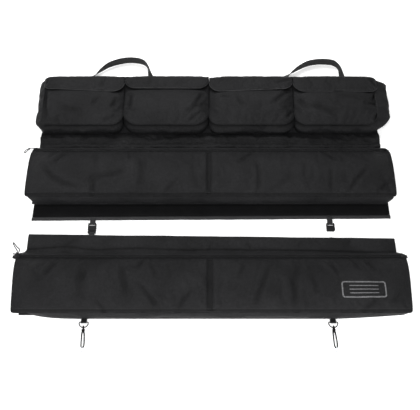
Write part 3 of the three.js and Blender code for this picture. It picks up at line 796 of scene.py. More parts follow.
def slab(name, x0, x1, y0, y1, z0, z1, mat, cell=14.0, rim=2.2, wave=0.4, top=None, y0b=None, y1b=None, seed=0.0, y0f=None):
    """Flat sewn panel: soft, slightly wavy, rounded rim. y0b and y1b are the edge's place at the far end in x."""
    y0b = y0 if y0b is None else y0b
    y1b = y1 if y1b is None else y1b
    nx, ny = max(4, int((x1 - x0) / cell)), max(3, int((y1 - y0) / min(cell, 9.0)))
    u = np.linspace(0, 1, nx + 1)
    w = np.linspace(0, 1, ny + 1)
    U, W = np.meshgrid(u, w, indexing="ij")
    Xc = x0 + (x1 - x0) * U
    Yc = (y0 + (y0b - y0) * U + (0 if y0f is None else y0f(Xc))) * (1 - W) + (y1 + (y1b - y1) * U) * W
    flat = np.stack([Xc, Yc], -1).reshape(-1, 2)
    n = fbm(np.c_[flat, np.zeros(len(flat))], 0.012, seed).reshape(Xc.shape) * wave
    edge = np.minimum(np.minimum(Xc - x0, x1 - Xc), np.minimum(W, 1 - W) * (y1 - y0))
    bite = np.clip(1 - edge / rim, 0, 1) ** 2 * (z1 - z0) * 0.28
    T = np.stack([Xc, Yc, z1 + n - bite + (0 if top is None else top(Xc, Yc))], -1)
    B = np.stack([Xc, Yc, np.full_like(Xc, z0) + bite], -1)
    a, b = T.reshape(-1, 3), B.reshape(-1, 3)
    idx = np.arange(len(a)).reshape(nx + 1, ny + 1)
    f = np.stack([idx[:-1, :-1], idx[1:, :-1], idx[1:, 1:], idx[:-1, 1:]], -1).reshape(-1, 4)
    g = f[:, ::-1] + len(a)
    ring = np.concatenate([idx[:, 0], idx[-1, 1:], idx[-2::-1, -1], idx[0, -2:0:-1]])
    r2 = np.roll(ring, -1)
    s = np.stack([ring, ring + len(a), r2 + len(a), r2], -1)
    uv = np.concatenate([flat, flat])
    o = make(name, np.vstack([a, b]), np.vstack([f, g, s]), mat, uv)
    return o


# ------------------------------------------------------------------ sleeves

COVER = [(9.0, 53.0), (11.0, 60.0), (18.0, 68.0), (34, 74.2), (64, 77.6), (110, 77.6), (158, 68.8), (194, 52.8), (217.2, 37.4)]
# half lengths (low left, high left, low right, high right) of each cover, and of its gusset's foot
ENDS = {"upper": (694, 700, 698, 705), "lower": (680, 697, 691, 705)}
FOOT = {"upper": (671, 680), "lower": (675, 680)}


def ends_x(tag, x, k):
    """x of a cover point: pattern x (+-697) at height share k from the bottom seam to the zip."""
    a, b, c, d = ENDS[tag]
    k = smooth(np.clip(k, 0, 1))
    return np.where(x < 0, x / 697 * (a + (b - a) * k), x / 697 * (c + (d - c) * k))


def foot_y(tag, x):
    """How far the gusset's foot turns in towards the ends."""
    if tag == "upper":
        return 0.0 * x
    return np.where(x < 0, 34.0 * np.clip((-x - 430) / 250, 0, 1.1) ** 3.2 + 8.0 * smooth((-x - 632) / 44), 15.0 * np.clip((x - 430) / 250, 0, 1.1) ** 1.4)


def path_px(pts, z=74.0):
    return [px(x, y, z) for x, y in pts]


UPPER_MARKS = [
    (path_px([(65.8, 152), (60, 160), (54, 166.4)], 50), 9, -3.0),
    (path_px([(42.2, 165), (46, 171), (52.7, 178), (64, 184), (78.8, 187.3)]), 10, -3.6),
    (path_px([(93.2, 178.1), (108, 175), (127.2, 170.3)]), 12, -3.4),
    (path_px([(93.2, 178), (91.2, 192.5)]), 9, -3.0),
    (path_px([(128.5, 152), (130, 161)], 50), 6, -1.8),
    (path_px([(141, 154.6), (142, 172), (141, 191)], 66), 15, -3.2),
    (path_px([(95.8, 154.6), (96.5, 167.7)], 55), 10, -1.6),
    (path_px([(165, 192.5), (170, 186), (176.9, 180.7)]), 8, -1.6),
    (path_px([(252.5, 150.7), (246, 158), (239.5, 163.7)], 50), 9, -2.4),
    (path_px([(257.5, 161), (259, 176), (259, 191)]), 9, -2.6),
    (path_px([(324.4, 150.7), (333.6, 161)], 50), 9, -2.4),
    (path_px([(331, 167.7), (331, 192.5)]), 8, -1.5),
    (path_px([(348, 192.5), (357, 180), (368.9, 167.7)]), 9, -2.8),
    (path_px([(304.8, 161), (304.8, 180.7)]), 9, -1.5),
    (path_px([(380, 190), (391, 181)]), 8, -2.0),
    (path_px([(275, 188), (292, 176)]), 11, -1.2),
    (path_px([(190, 160), (196, 172)]), 12, -1.0),
]
LOWER_MARKS = [
    (path_px([(57.6, 259.3), (51, 268), (45.2, 277)], 60), 9, -3.0),
    (path_px([(83.6, 264.8), (80, 283), (78.2, 301.8)]), 15, -3.4),
    (path_px([(120.7, 262), (123.4, 279.8), (126.2, 299)]), 10, -3.6),
    (path_px([(138.5, 282.6), (149, 295), (157.7, 307.3)]), 8, -2.6),
    (path_px([(144, 258), (137, 268.9)], 55), 7, -2.0),
    (path_px([(150.8, 263.4), (156.3, 275.7)]), 8, -1.6),
    (path_px([(176.9, 310), (183, 300), (192, 289.4)]), 7, -2.4),
    (path_px([(96, 300.4), (104.2, 311.4)]), 7, -1.8),
    (path_px([(131, 288), (132, 302)]), 9, -1.2),
    (path_px([(270.8, 260.7), (263, 284), (254.4, 307.3)]), 9, -2.8),
    (path_px([(246, 263), (238, 277)], 60), 9, -1.6),
    (path_px([(299.6, 262), (294, 279.8), (296.9, 307.3)]), 12, -3.4),
    (path_px([(312, 276), (318, 290)]), 10, -1.6),
    (path_px([(331, 263.4), (337, 272)], 60), 8, -2.0),
    (path_px([(354.5, 260.7), (358.6, 270)], 55), 8, -2.0),
    (path_px([(368, 260.7), (373.7, 270.2)], 55), 8, -2.2),
    (path_px([(365.4, 308.6), (377.8, 299)]), 8, -2.4),
    (path_px([(393, 303), (401, 292)]), 8, -1.4),
    (path_px([(30, 268), (40, 280)]), 9, -1.4),
]


def sleeve(tag, y0, marks, cx, cw, seed):
    case, front = f"{tag}_case", f"{tag}_front"
    prof, L = spline(COVER)
    out = rounded(-697, 697, 0, L, (11, 11, 4, 4))
    pts, tris, nb = panel(out, 8.2)
    y, z = on_profile(prof, L, pts[:, 1])
    # the padding thins out towards the ends
    chord = np.interp(y, [9, 14, 40, 217], [53, 58, 60, 37.4])
    keep = 0.42 + 0.58 * smooth((697 - np.abs(pts[:, 0])) / 80)
    z = chord + (z - chord) * np.where(z > chord, keep, 1.0)
    v = np.stack([ends_x(tag, pts[:, 0], pts[:, 1] / L), y + y0, z], 1)
    edge = edge_distance(np.array(out), pts)
    soft = smooth(edge / 45)
    v[:, 2] += fbm(np.c_[pts[:, 0] * 0.8, pts[:, 1] * 0.45, np.zeros(len(pts))], 0.013, seed) * 2.2 * soft
    o = make(f"{tag}_cover_cloth", v, tris, "shell", pts)
    chan = np.where(np.abs(pts[:, 0] - cx) < cw * 0.55)[0]
    pinned = np.unique(np.concatenate([np.arange(nb), chan]))
    simulate(o, pinned, frames=14, pressure=2.6, grow=0.008, cap=6.0, bending=4.0)
    refine(o)
    p = local(o)
    flat = p[:, :2].copy()
    strokes(o, flat, marks)
    p, nn, sh = local(o), normals(o), get_shade(o).astype(float)
    # the stitched channel across the middle, where the sleeve folds in half, with painted shade in its recess
    d = np.abs(p[:, 0] - cx)
    inner = smooth((cw * 0.5 + 5 - d) / 7.0)
    ends = smooth((p[:, 1] - y0 - 10) / 10) * smooth((y0 + 217 - p[:, 1]) / 8)
    p[:, 2] -= inner * ends * 5.5
    p[:, 2] += np.exp(-((d - cw * 0.5 - 15) / 12) ** 2) * ends * 1.6
    sh += inner * ends * 0.55
    # gathers: short tucks where the cloth is sewn to the zip and to the bottom seam
    u = p[:, 0]
    near_top = np.exp(-((y0 + 217 - p[:, 1]) / 15.0) ** 2)
    near_low = np.exp(-((p[:, 1] - y0 - 12) / 15.0) ** 2)
    g1 = fbm(np.c_[u * 1.0, np.zeros((len(u), 2))], 0.045, seed + 3.1, 2)
    g2 = fbm(np.c_[u * 1.0, np.zeros((len(u), 2))], 0.05, seed + 9.4, 2)
    p += nn * (near_top * g1 * 1.5 + near_low * g2 * 1.1)[:, None]
    # bottom seam's pressed line; painted shade in its groove, along the zip's valley at the top edge and at the bottom
    # edge
    line = np.exp(-((p[:, 1] - y0 - 15.5) / 3.0) ** 2)
    p[:, 2] -= line * 2.2
    sh += line * 0.7 + 0.9 * np.exp(-((y0 + 217.2 - p[:, 1]) / 4.5) ** 2) + 0.3 * np.exp(-((p[:, 1] - y0 - 9) / 4.0) ** 2)
    put(o, p)
    set_shade(o, sh)
    thicken(o, 1.6, 0)
    on(o, front, "shell_cloth", f"{tag}_front_cover")
    t = tree(o)
    # stitching
    def seam(name, xs, ys, body=front, lift=0.25):
        q, n = [], []
        for x, yy in zip(xs, ys):
            h, m = drop(t, x, yy, lift, default=60)
            q.append((x, yy, h))
            n.append(m)
        s = stitches(name, q, n)
        on(s, body, "shell_cloth")
        return s
    xs = np.arange(-686, 687, 7.0)
    seam(f"{tag}_stitch_low", xs, np.full(len(xs), y0 + 19.5))
    seam(f"{tag}_stitch_zip", np.arange(-690, 691, 7.0), np.full(len(np.arange(-690, 691, 7.0)), y0 + 212.5))
    ys = np.arange(y0 + 18, y0 + 211, 5.0)
    seam(f"{tag}_stitch_mid_a", np.full(len(ys), cx - cw * 0.5 - 1.5), ys)
    seam(f"{tag}_stitch_mid_b", np.full(len(ys), cx + cw * 0.5 + 1.5), ys)
    # seam roll round the bottom and ends of the cover, with painted shade on it
    ring = resample(np.array(out), 7.0)
    keep = ring[:, 1] < L - 1.0
    k0 = int(np.argmax(keep & ~np.roll(keep, 1)))
    ring = np.roll(ring, -k0, 0)
    ring = ring[np.roll(keep, -k0)]
    ry, rz = on_profile(prof, L, ring[:, 1])
    rc = np.interp(ry, [9, 14, 40, 217], [53, 58, 60, 37.4])
    rk = 0.42 + 0.58 * smooth((697 - np.abs(ring[:, 0])) / 80)
    rz = rc + (rz - rc) * np.where(rz > rc, rk, 1.0)
    roll = tube(f"{tag}_seam_roll", np.stack([ends_x(tag, ring[:, 0], ring[:, 1] / L), ry + y0, rz - 1.2], 1), 1.2, "shell", radial=8, shade=0.35)
    on(roll, front, "shell_cloth")

    # gusset: bottom wall, with the corners turned
    r = 12.0
    xs = np.concatenate([np.linspace(-90, 0, 7)[:-1], np.linspace(0, 1, 172), np.linspace(90, 0, 7)[::-1][1:]])
    def rim(z, k):
        """Outline of the gusset at height share k: points from the left end round the bottom to the right end."""
        fl, fr = FOOT[tag]
        hl, hr = fl + (ENDS[tag][0] - 1 - fl) * k, fr + (ENDS[tag][2] - 1 - fr) * k
        yb = 5.0 + 4.0 * k
        turn = lambda x: float(foot_y(tag, np.array(float(x)))) * (1 - k)
        q = []
        for a in np.linspace(90, 0, 7)[:-1]:
            a = math.radians(a)
            q.append((-hl + r - r * math.sin(a), yb + turn(-hl) + r - r * math.cos(a)))
        for w in np.linspace(0, 1, 175):
            x = -hl + r + w * (hl + hr - 2 * r)
            q.append((x, yb + turn(x - r * (1 - w) + r * w)))
        for a in np.linspace(0, 90, 7)[1:]:
            a = math.radians(a)
            q.append((hr - r + r * math.sin(a), yb + turn(hr) + r - r * math.cos(a)))
        return np.array(q)
    rows = []
    K = np.linspace(0, 1, 11)
    for k in K:
        q = rim(0, k)
        zz = 3.3 + k * (52.6 - 3.3)
        rows.append(np.c_[q[:, 0], q[:, 1] + y0, np.full(len(q), zz)])
    P = np.stack(rows, 1)
    flatn = np.stack([P[:, :, 0].ravel() * 0.35, P[:, :, 2].ravel() * 1.4, np.zeros(P.shape[0] * P.shape[1])], 1)
    w1 = fbm(flatn, 0.03, seed + 5).reshape(P.shape[:2])
    w2 = fbm(np.c_[P[:, :, 0].ravel() * 1.0 + P[:, :, 2].ravel() * 0.6, P[:, :, 2].ravel() * 0.3, np.zeros(P.shape[0] * P.shape[1])], 0.03, seed + 8).reshape(P.shape[:2])
    bell = np.sin(np.pi * K)[None, :]
    push = bell * (5.2 + w1 * 3.0 + w2 * 1.8)
    ease = np.arange(len(P) - 12)
    ease = 0.5 + 0.5 * smooth(np.minimum(ease, ease[::-1]) / 24)
    P[6:-6, :, 1] -= push[6:-6] * ease[:, None]
    for i in list(range(6)) + list(range(-6, 0)):
        nx = np.sign(P[i, 5, 0])
        P[i, :, 1] -= push[i] * 0.5
        P[i, :, 0] += nx * push[i] * 0.4
    # painted shade at the foot, where the gusset meets the panel
    sh = np.zeros(P.shape[:2]) + 0.5 * (1 - smooth(K / 0.22))[None, :]
    gb = grid(f"{tag}_gusset_low", P, "shell", 1.4, 1, shade=sh)
    on(gb, case, "shell_cloth", f"{tag}_gusset")

    # gusset: the two ends
    def ztop(yy):
        zz = np.interp(yy, prof[:, 0], prof[:, 1])
        cc = np.interp(yy, [9, 14, 40, 217], [53, 58, 60, 37.4])
        zz = cc + max(0.0, float(zz - cc)) * 0.42
        return zz - 1.0 if yy < 217.2 else np.interp(yy, [217.2, 229, 252], [36.4, 30.6, 4.6])
    for s in (-1, 1):
        Y = np.concatenate([np.linspace(9.0 + r, 217, 34), np.linspace(222, 229, 3)])
        foot = FOOT[tag][0 if s < 0 else 1]
        turned = float(foot_y(tag, np.array(float(s * foot))))
        K = np.linspace(0, 1, 10)
        P = np.zeros((len(Y), len(K), 3))
        for i, yy in enumerate(Y):
            zt = float(ztop(yy))
            for j, k in enumerate(K):
                base_y = yy + (0 if yy < 200 else (yy - 200) / 29 * 20 * (1 - k))
                fade = float(1 - smooth((yy - 9 - r) / 110))
                base_y += (turned - 4.0 * float(1 - smooth((yy - 9 - r) / 20))) * fade * (1 - k)
                z = 3.3 + k * (zt - 3.3)
                edge_x = abs(float(ends_x(tag, np.array(s * 696.0), np.array((yy - 9) / 208))))
                P[i, j] = (s * (foot + (edge_x - foot) * k), base_y + y0, z)
        n = fbm(np.c_[P[:, :, 1].ravel(), P[:, :, 2].ravel() * 0.6, np.full(P[:, :, 0].size, s * 3.0)], 0.03, seed + 2).reshape(P.shape[:2])
        bell = np.sin(np.pi * K)[None, :] * smooth(np.arange(len(Y)) / 5)[:, None]
        P[:, :, 0] -= s * bell * (3.0 + n * 5.0)
        ge = grid(f"{tag}_gusset_{'left' if s < 0 else 'right'}", P, "shell", 1.4, 1, flip=(s < 0))
        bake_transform(ge)

    # zip: tapes, teeth and the cloth band on the back panel's side
    X = np.linspace(-698, 700, 150)
    wob = fbm(np.c_[X, np.zeros((len(X), 2))], 0.006, seed + 1.7, 2) * 1.6
    def strip(name, prof2, mat, body, slotname, t=0.9, nodes=(), wave=0.0, sh=None, hx=None, levels=1):
        q, Lq = spline(prof2, max(5, len(prof2) * 4))
        P = np.zeros((len(X), len(q), 3))
        for j in range(len(q)):
            half = 1.0 if hx is None else np.interp(j / (len(q) - 1), [0, 1], hx) / 698.0
            P[:, j] = np.c_[X * half, q[j, 0] + y0 + np.zeros(len(X)), q[j, 1] + np.zeros(len(X))]
        if wave:
            n = fbm(np.c_[P[:, :, 0].ravel() * 0.5, P[:, :, 1].ravel() * 1.5, np.zeros(P[:, :, 0].size)], 0.03, seed + 4.4).reshape(P.shape[:2])
            P[:, :, 2] += n * wave * np.sin(np.linspace(0, np.pi, len(q)))[None, :]
        S = None if sh is None else np.broadcast_to(np.interp(np.linspace(0, 1, len(q)), *sh)[None, :], P.shape[:2])
        o = grid(name, P, mat, t, levels, shade=S)
        on(o, body, slotname, *nodes)
        return o
    strip(f"{tag}_tape_front", [(213.5, 37.2), (219.5, 31.6), (226.8, 27.4)], "tape", front, "zip_tape", 0.8, [f"{tag}_zip_tape_front"], levels=0)
    strip(f"{tag}_band", [(230.6, 27.4), (231.8, 29.4), (236.5, 28.5), (241.8, 24.8), (246.3, 19.4), (250.8, 11.5), (256.0, 4.4)], "shell", case, "zip_tape", 1.2, [f"{tag}_zip_tape_back"],
          wave=1.6, hx=(697, 682))
    strip(f"{tag}_tape_back", [(228.2, 27.2), (232, 28.0), (237, 27.0)], "tape", case, "zip_tape", 0.8, levels=0)
    xs = np.arange(-688, 689, 6.0)
    line = np.c_[xs, np.full(len(xs), y0 + 227.6), np.full(len(xs), 27.6)]
    ups = np.tile([0, 0.56, 0.83], (len(xs), 1))
    off = ups * 0.1
    a = stitches(f"{tag}_teeth_front", line + np.array([0, -0.9, 0.5]), ups, "coil", 2.6, 1.25, 1.7, 1.1)
    on(a, front, "zip_tape")
    b = stitches(f"{tag}_teeth_back", line + np.array([1.3, 1.0, -0.6]), ups, "coil", 2.6, 1.25, 1.7, 1.1)
    on(b, case, "zip_tape")
    # band's two stitch rows
    for k, (yy, zz) in enumerate(((234.4, 29.3), (240.8, 25.8))):
        q = np.c_[xs, np.full(len(xs), y0 + yy), np.full(len(xs), zz + 0.3)]
        s = stitches(f"{tag}_band_stitch_{k}", q, np.tile([0, 0.62, 0.78], (len(xs), 1)), length=3.2)
        on(s, case, "zip_tape")

    # padding seen when the sleeve is open
    def quilt(Xc, Yc):
        return -1.6 * np.exp(-((Xc - cx) / 9) ** 2) - 0.9 * np.exp(-(((Xc + 4000) % 140 - 70) / 5.0) ** 2)
    pad = slab(f"{tag}_back_padding", -668, 668, y0 + 16, y0 + 226, 3.3, 8.6, "lining", cell=9, rim=10, wave=0.9, top=quilt, seed=seed)
    on(pad, case, "foam", f"{tag}_back_pad")
    q, Lq = spline([(18, 62.2), (26, 64.4), (60, 69.8), (109, 69.8), (153, 61.2), (188, 45.8), (206, 34.5)])
    Xs = np.linspace(-668, 668, 120)
    P = np.zeros((len(Xs), 26, 3))
    sq = np.linspace(0, Lq, 26)
    qy, qz = on_profile(q, Lq, sq)
    for j in range(26):
        P[:, j] = np.c_[Xs, np.full(len(Xs), qy[j] + y0), np.full(len(Xs), qz[j])]
    P[:, :, 2] += 1.4 * np.exp(-(((P[:, :, 0] + 4000) % 140 - 70) / 5.0) ** 2)
    fp = grid(f"{tag}_front_padding", P, "lining", 3.0, 0, flip=False)
    on(fp, front, "foam", f"{tag}_front_pad")
    return t


LY = -454.0
t_upper = sleeve("upper", 0.0, UPPER_MARKS, -3.5, 16.0, 2.0)
t_lower = sleeve("lower", LY, LOWER_MARKS, 0.5, 19.0, 11.0)

# ------------------------------------------------------------------ back panels, fold and joining strip

up = slab("upper_back_cloth", -680, 680, 3, 294, 0, 3.0, "lining", cell=20, wave=0.2, seed=1)
on(up, "upper_case", "panel_cloth", "upper_back_panel")
pp = slab("pocket_panel_cloth", -680, 680, 297, 588, 0, 3.0, "lining", cell=20, wave=0.2, seed=2)
on(pp, "pocket_panel", "panel_cloth", "pocket_panel")
lp = slab("lower_back_cloth", -676, 680, -450, -190, 0, 3.0, "lining", cell=14, wave=0.2, seed=3, y0f=lambda x: foot_y("lower", x))
on(lp, "lower_case", "panel_cloth", "lower_back_panel")

# loose cloth between the upper sleeve and the pockets
Xf = np.linspace(-681, 681, 190)
Yf = np.array([256, 259, 262, 266, 270, 273, 275.5, 279, 283, 287, 291, 295, 299, 303, 307, 311, 315, 319, 324, 330.0])
zf = np.array([4.2, 6.2, 8.2, 9.2, 7.8, 5.0, 4.2, 6.0, 7.6, 8.6, 10.6, 12.4, 13.2, 12.6, 10.8, 8.6, 6.8, 5.4, 4.4, 4.0])
P = np.zeros((len(Xf), len(Yf), 3))
P[:, :, 0] = Xf[:, None]
P[:, :, 1] = Yf[None, :]
P[:, :, 2] = zf[None, :]
flat = P.reshape(-1, 3)
f1 = fbm(np.c_[flat[:, 0] * 0.25, flat[:, 1] * 1.6, np.zeros(len(flat))], 0.02, 21.0).reshape(P.shape[:2])
f2 = fbm(np.c_[flat[:, 0] * 0.16, np.zeros((len(flat), 2))], 0.02, 4.0, 2).reshape(P.shape[:2])
f3 = fbm(np.c_[flat[:, 0] * 1.1 + flat[:, 1] * 0.9, flat[:, 1] * 0.6, np.zeros(len(flat))], 0.03, 33.0).reshape(P.shape[:2])
amp = np.interp(Yf, [256, 262, 273, 276, 285, 315, 330], [0.1, 0.9, 0.15, 0.2, 1.0, 1.0, 0.2])[None, :]
P[:, :, 2] += (f1 * 6.4 + f3 * 3.0) * amp
P[:, :, 2] = np.maximum(P[:, :, 2], 3.9)
P[:, :, 1] += f2 * 3.0 * np.interp(Yf, [256, 262, 330], [0, 0.6, 1])[None, :]
fold = grid("fold_cloth", P, "shell", thick=False)
edge_rows = np.arange(len(flat)).reshape(P.shape[:2])
simulate(fold, np.unique(np.concatenate([edge_rows[:, 0], edge_rows[:, -1], edge_rows[:, 6], edge_rows[0], edge_rows[-1]])), frames=10, pressure=0.6, grow=0.05, cap=3.0)
p = local(fold)
p[:, 2] = np.maximum(p[:, 2], 3.8)
put(fold, p)
# painted shade: along the stitched line, in the recess under the pocket gussets, by the sleeve's edge, in the low
# hollows and as streaks across the folds
sh = 0.5 * np.exp(-((p[:, 1] - 274.5) / 2.5) ** 2) + 0.42 * smooth((p[:, 1] - 311) / 8) + 0.1 * smooth((260 - p[:, 1]) / 4) + 0.12 * smooth((8.0 - p[:, 2]) / 5.0) * smooth((p[:, 1] - 277) / 4) + 0.3 * smooth(fbm(np.c_[p[:, 0] * 0.12, p[:, 1] * 1.7, np.zeros(len(p))], 0.035, 90.0) * 1.6) * smooth((p[:, 1] - 277) / 4)
set_shade(fold, sh)
thicken(fold, 1.0, 1)
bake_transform(fold)
tf = tree(fold)
xs = np.arange(-676, 677, 7.0)
q = [(x, 274.8, drop(tf, x, 274.8, 0.25, 5)[0]) for x in xs]
s = stitches("fold_stitch", q, np.tile([0, 0, 1.0], (len(q), 1)))
on(s, "upper_case", "shell_cloth")

# joining strip: its far edge runs a little out of square, as it lies
SL, SR = -67.5, -58.5
st = slab("strip_cloth", -671, 680, SL, 6.0, 0.15, 2.8, "panel", cell=12, wave=0.3, y0b=SR, seed=6)
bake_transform(st)
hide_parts("joining_strip")


def strip_y(x, k):
    """Y across the joining strip: k 0 at its far edge, k 1 at the fold."""
    lo = SL + (SR - SL) * (x + 680) / 1360
    return lo + k * (-1.0 - lo)


lt = slab("loop_tape_pile", -668.5, 677, -53.0, -1.0, 2.9, 4.5, "pile", cell=9, rim=3, wave=0.3, y0b=-44.5, y1b=0.5, seed=7)
on(lt, "joining_strip", "hook_and_loop", "loop_tape")
# bound edge
Xb = np.linspace(-672, 681, 200)
wv = fbm(np.c_[Xb, np.zeros((len(Xb), 2))], 0.02, 14.0, 2)
P = np.zeros((len(Xb), 9, 3))
lo = SL + (SR - SL) * (Xb + 680) / 1360
prof = [(12.5, 3.3), (11.5, 3.9), (6, 4.4), (1.5, 4.0), (-1.2, 2.4), (-1.2, 1.2), (1.0, 0.25), (7, 0.1), (12, 0.1)]
for j, (a, b) in enumerate(prof):
    P[:, j] = np.c_[Xb, lo + a + wv * 0.5, b + np.where(b > 1, wv * 0.5, 0)]
bd = grid("strip_binding", P, "bind", 0.7, 1, flip=True)
on(bd, "joining_strip", "panel_cloth")
for k, dy in enumerate((2.6, 10.2)):
    q = np.c_[Xb, lo + dy + wv * 0.5, 4.45 + wv * 0.5 - (0.25 if k == 0 else 0.4)]
    s = stitches(f"strip_stitch_{k}", q, np.tile([0, 0, 1.0], (len(q), 1)))
    on(s, "joining_strip", "panel_cloth")

# ------------------------------------------------------------------ pockets

PF = [(-675, -350.7), (-349.3, -4.7), (-3.3, 339.3), (340.7, 670)]
PR = [(20, 46), (64, 62), (40, 56), (44, 50)]
LIP = [(494, 481), (497, 496), (481, 493), (480, 481)]
FACE = [(330, 60.5), (340, 65.5), (355, 70.5), (381, 75), (409, 77), (477, 76.5), (518, 70.5), (548, 65.5)]
FLAP = [(577, 4.5), (574.5, 20), (572.6, 38), (570, 58), (563.5, 72.5), (551, 79.4), (535, 80.6), (510, 80.8), (475, 80.4)]
ZT = 76.0
POCKET_MARKS = [
    [(path_px([(98.4, 98.4), (95, 101), (93.2, 104.9)], ZT), 7, -2.6), (path_px([(116.7, 98.4), (112.8, 106.2)], ZT), 8, -3.4),
     (path_px([(46, 89), (45, 104), (46.5, 119)], 68), 9, -4.2), (path_px([(58, 106), (80, 112)], ZT), 14, -1.6),
     (path_px([(102, 121), (117, 116)], 66), 7, -1.8), (path_px([(56, 118), (57, 123)], 66), 6, -1.6)],
    [(path_px([(130, 95), (128, 108)], 70), 9, -3.4), (path_px([(195.2, 104.9), (203, 93)], ZT), 8, -2.8),
     (path_px([(187, 114), (196, 107), (206, 104)], 70), 9, -3.0), (path_px([(190, 120), (202, 112)], 66), 6, -2.0),
     (path_px([(150, 98), (158, 116)], ZT), 20, 2.2)],
    [(path_px([(273.4, 103.6), (281, 97), (289, 88.9)], ZT), 9, -4.4), (path_px([(244.7, 106), (240, 101), (238, 95.8)], ZT), 10, -2.8),
     (path_px([(228, 98), (222, 97)], 70), 7, -2.2), (path_px([(288, 117), (293, 110)], 66), 6, -2.4),
     (path_px([(263, 112), (274, 108), (284, 110)], ZT), 12, 2.4)],
    [(path_px([(308.7, 106.2), (322, 107), (338.8, 114)], ZT), 14, -4.6), (path_px([(371.5, 102.3), (376, 93), (378, 87)], 70), 8, -3.6),
     (path_px([(385, 107.5), (380, 112), (375.4, 119.3)], 62), 7, -3.6), (path_px([(297, 98), (304, 106)], 68), 8, -3.6),
     (path_px([(340, 96), (360, 98)], ZT), 12, -1.6), (path_px([(366, 105), (381, 103)], 68), 8, -2.6), (path_px([(318, 118), (345, 117)], 70), 12, 2.0)],
]


def u_path(a, b, ra, rb, y0=330.0, y1=548.0):
    q = [(a, y1), (a, y0 + ra)]
    for k in range(1, 9):
        t = math.radians(180 + 90 * k / 8)
        q.append((a + ra + ra * math.cos(t), y0 + ra + ra * math.sin(t)))
    q.append((b - rb, y0))
    for k in range(1, 9):
        t = math.radians(270 + 90 * k / 8)
        q.append((b - rb + rb * math.cos(t), y0 + rb + rb * math.sin(t)))
    q.append((b, y1))
    return np.array(q)


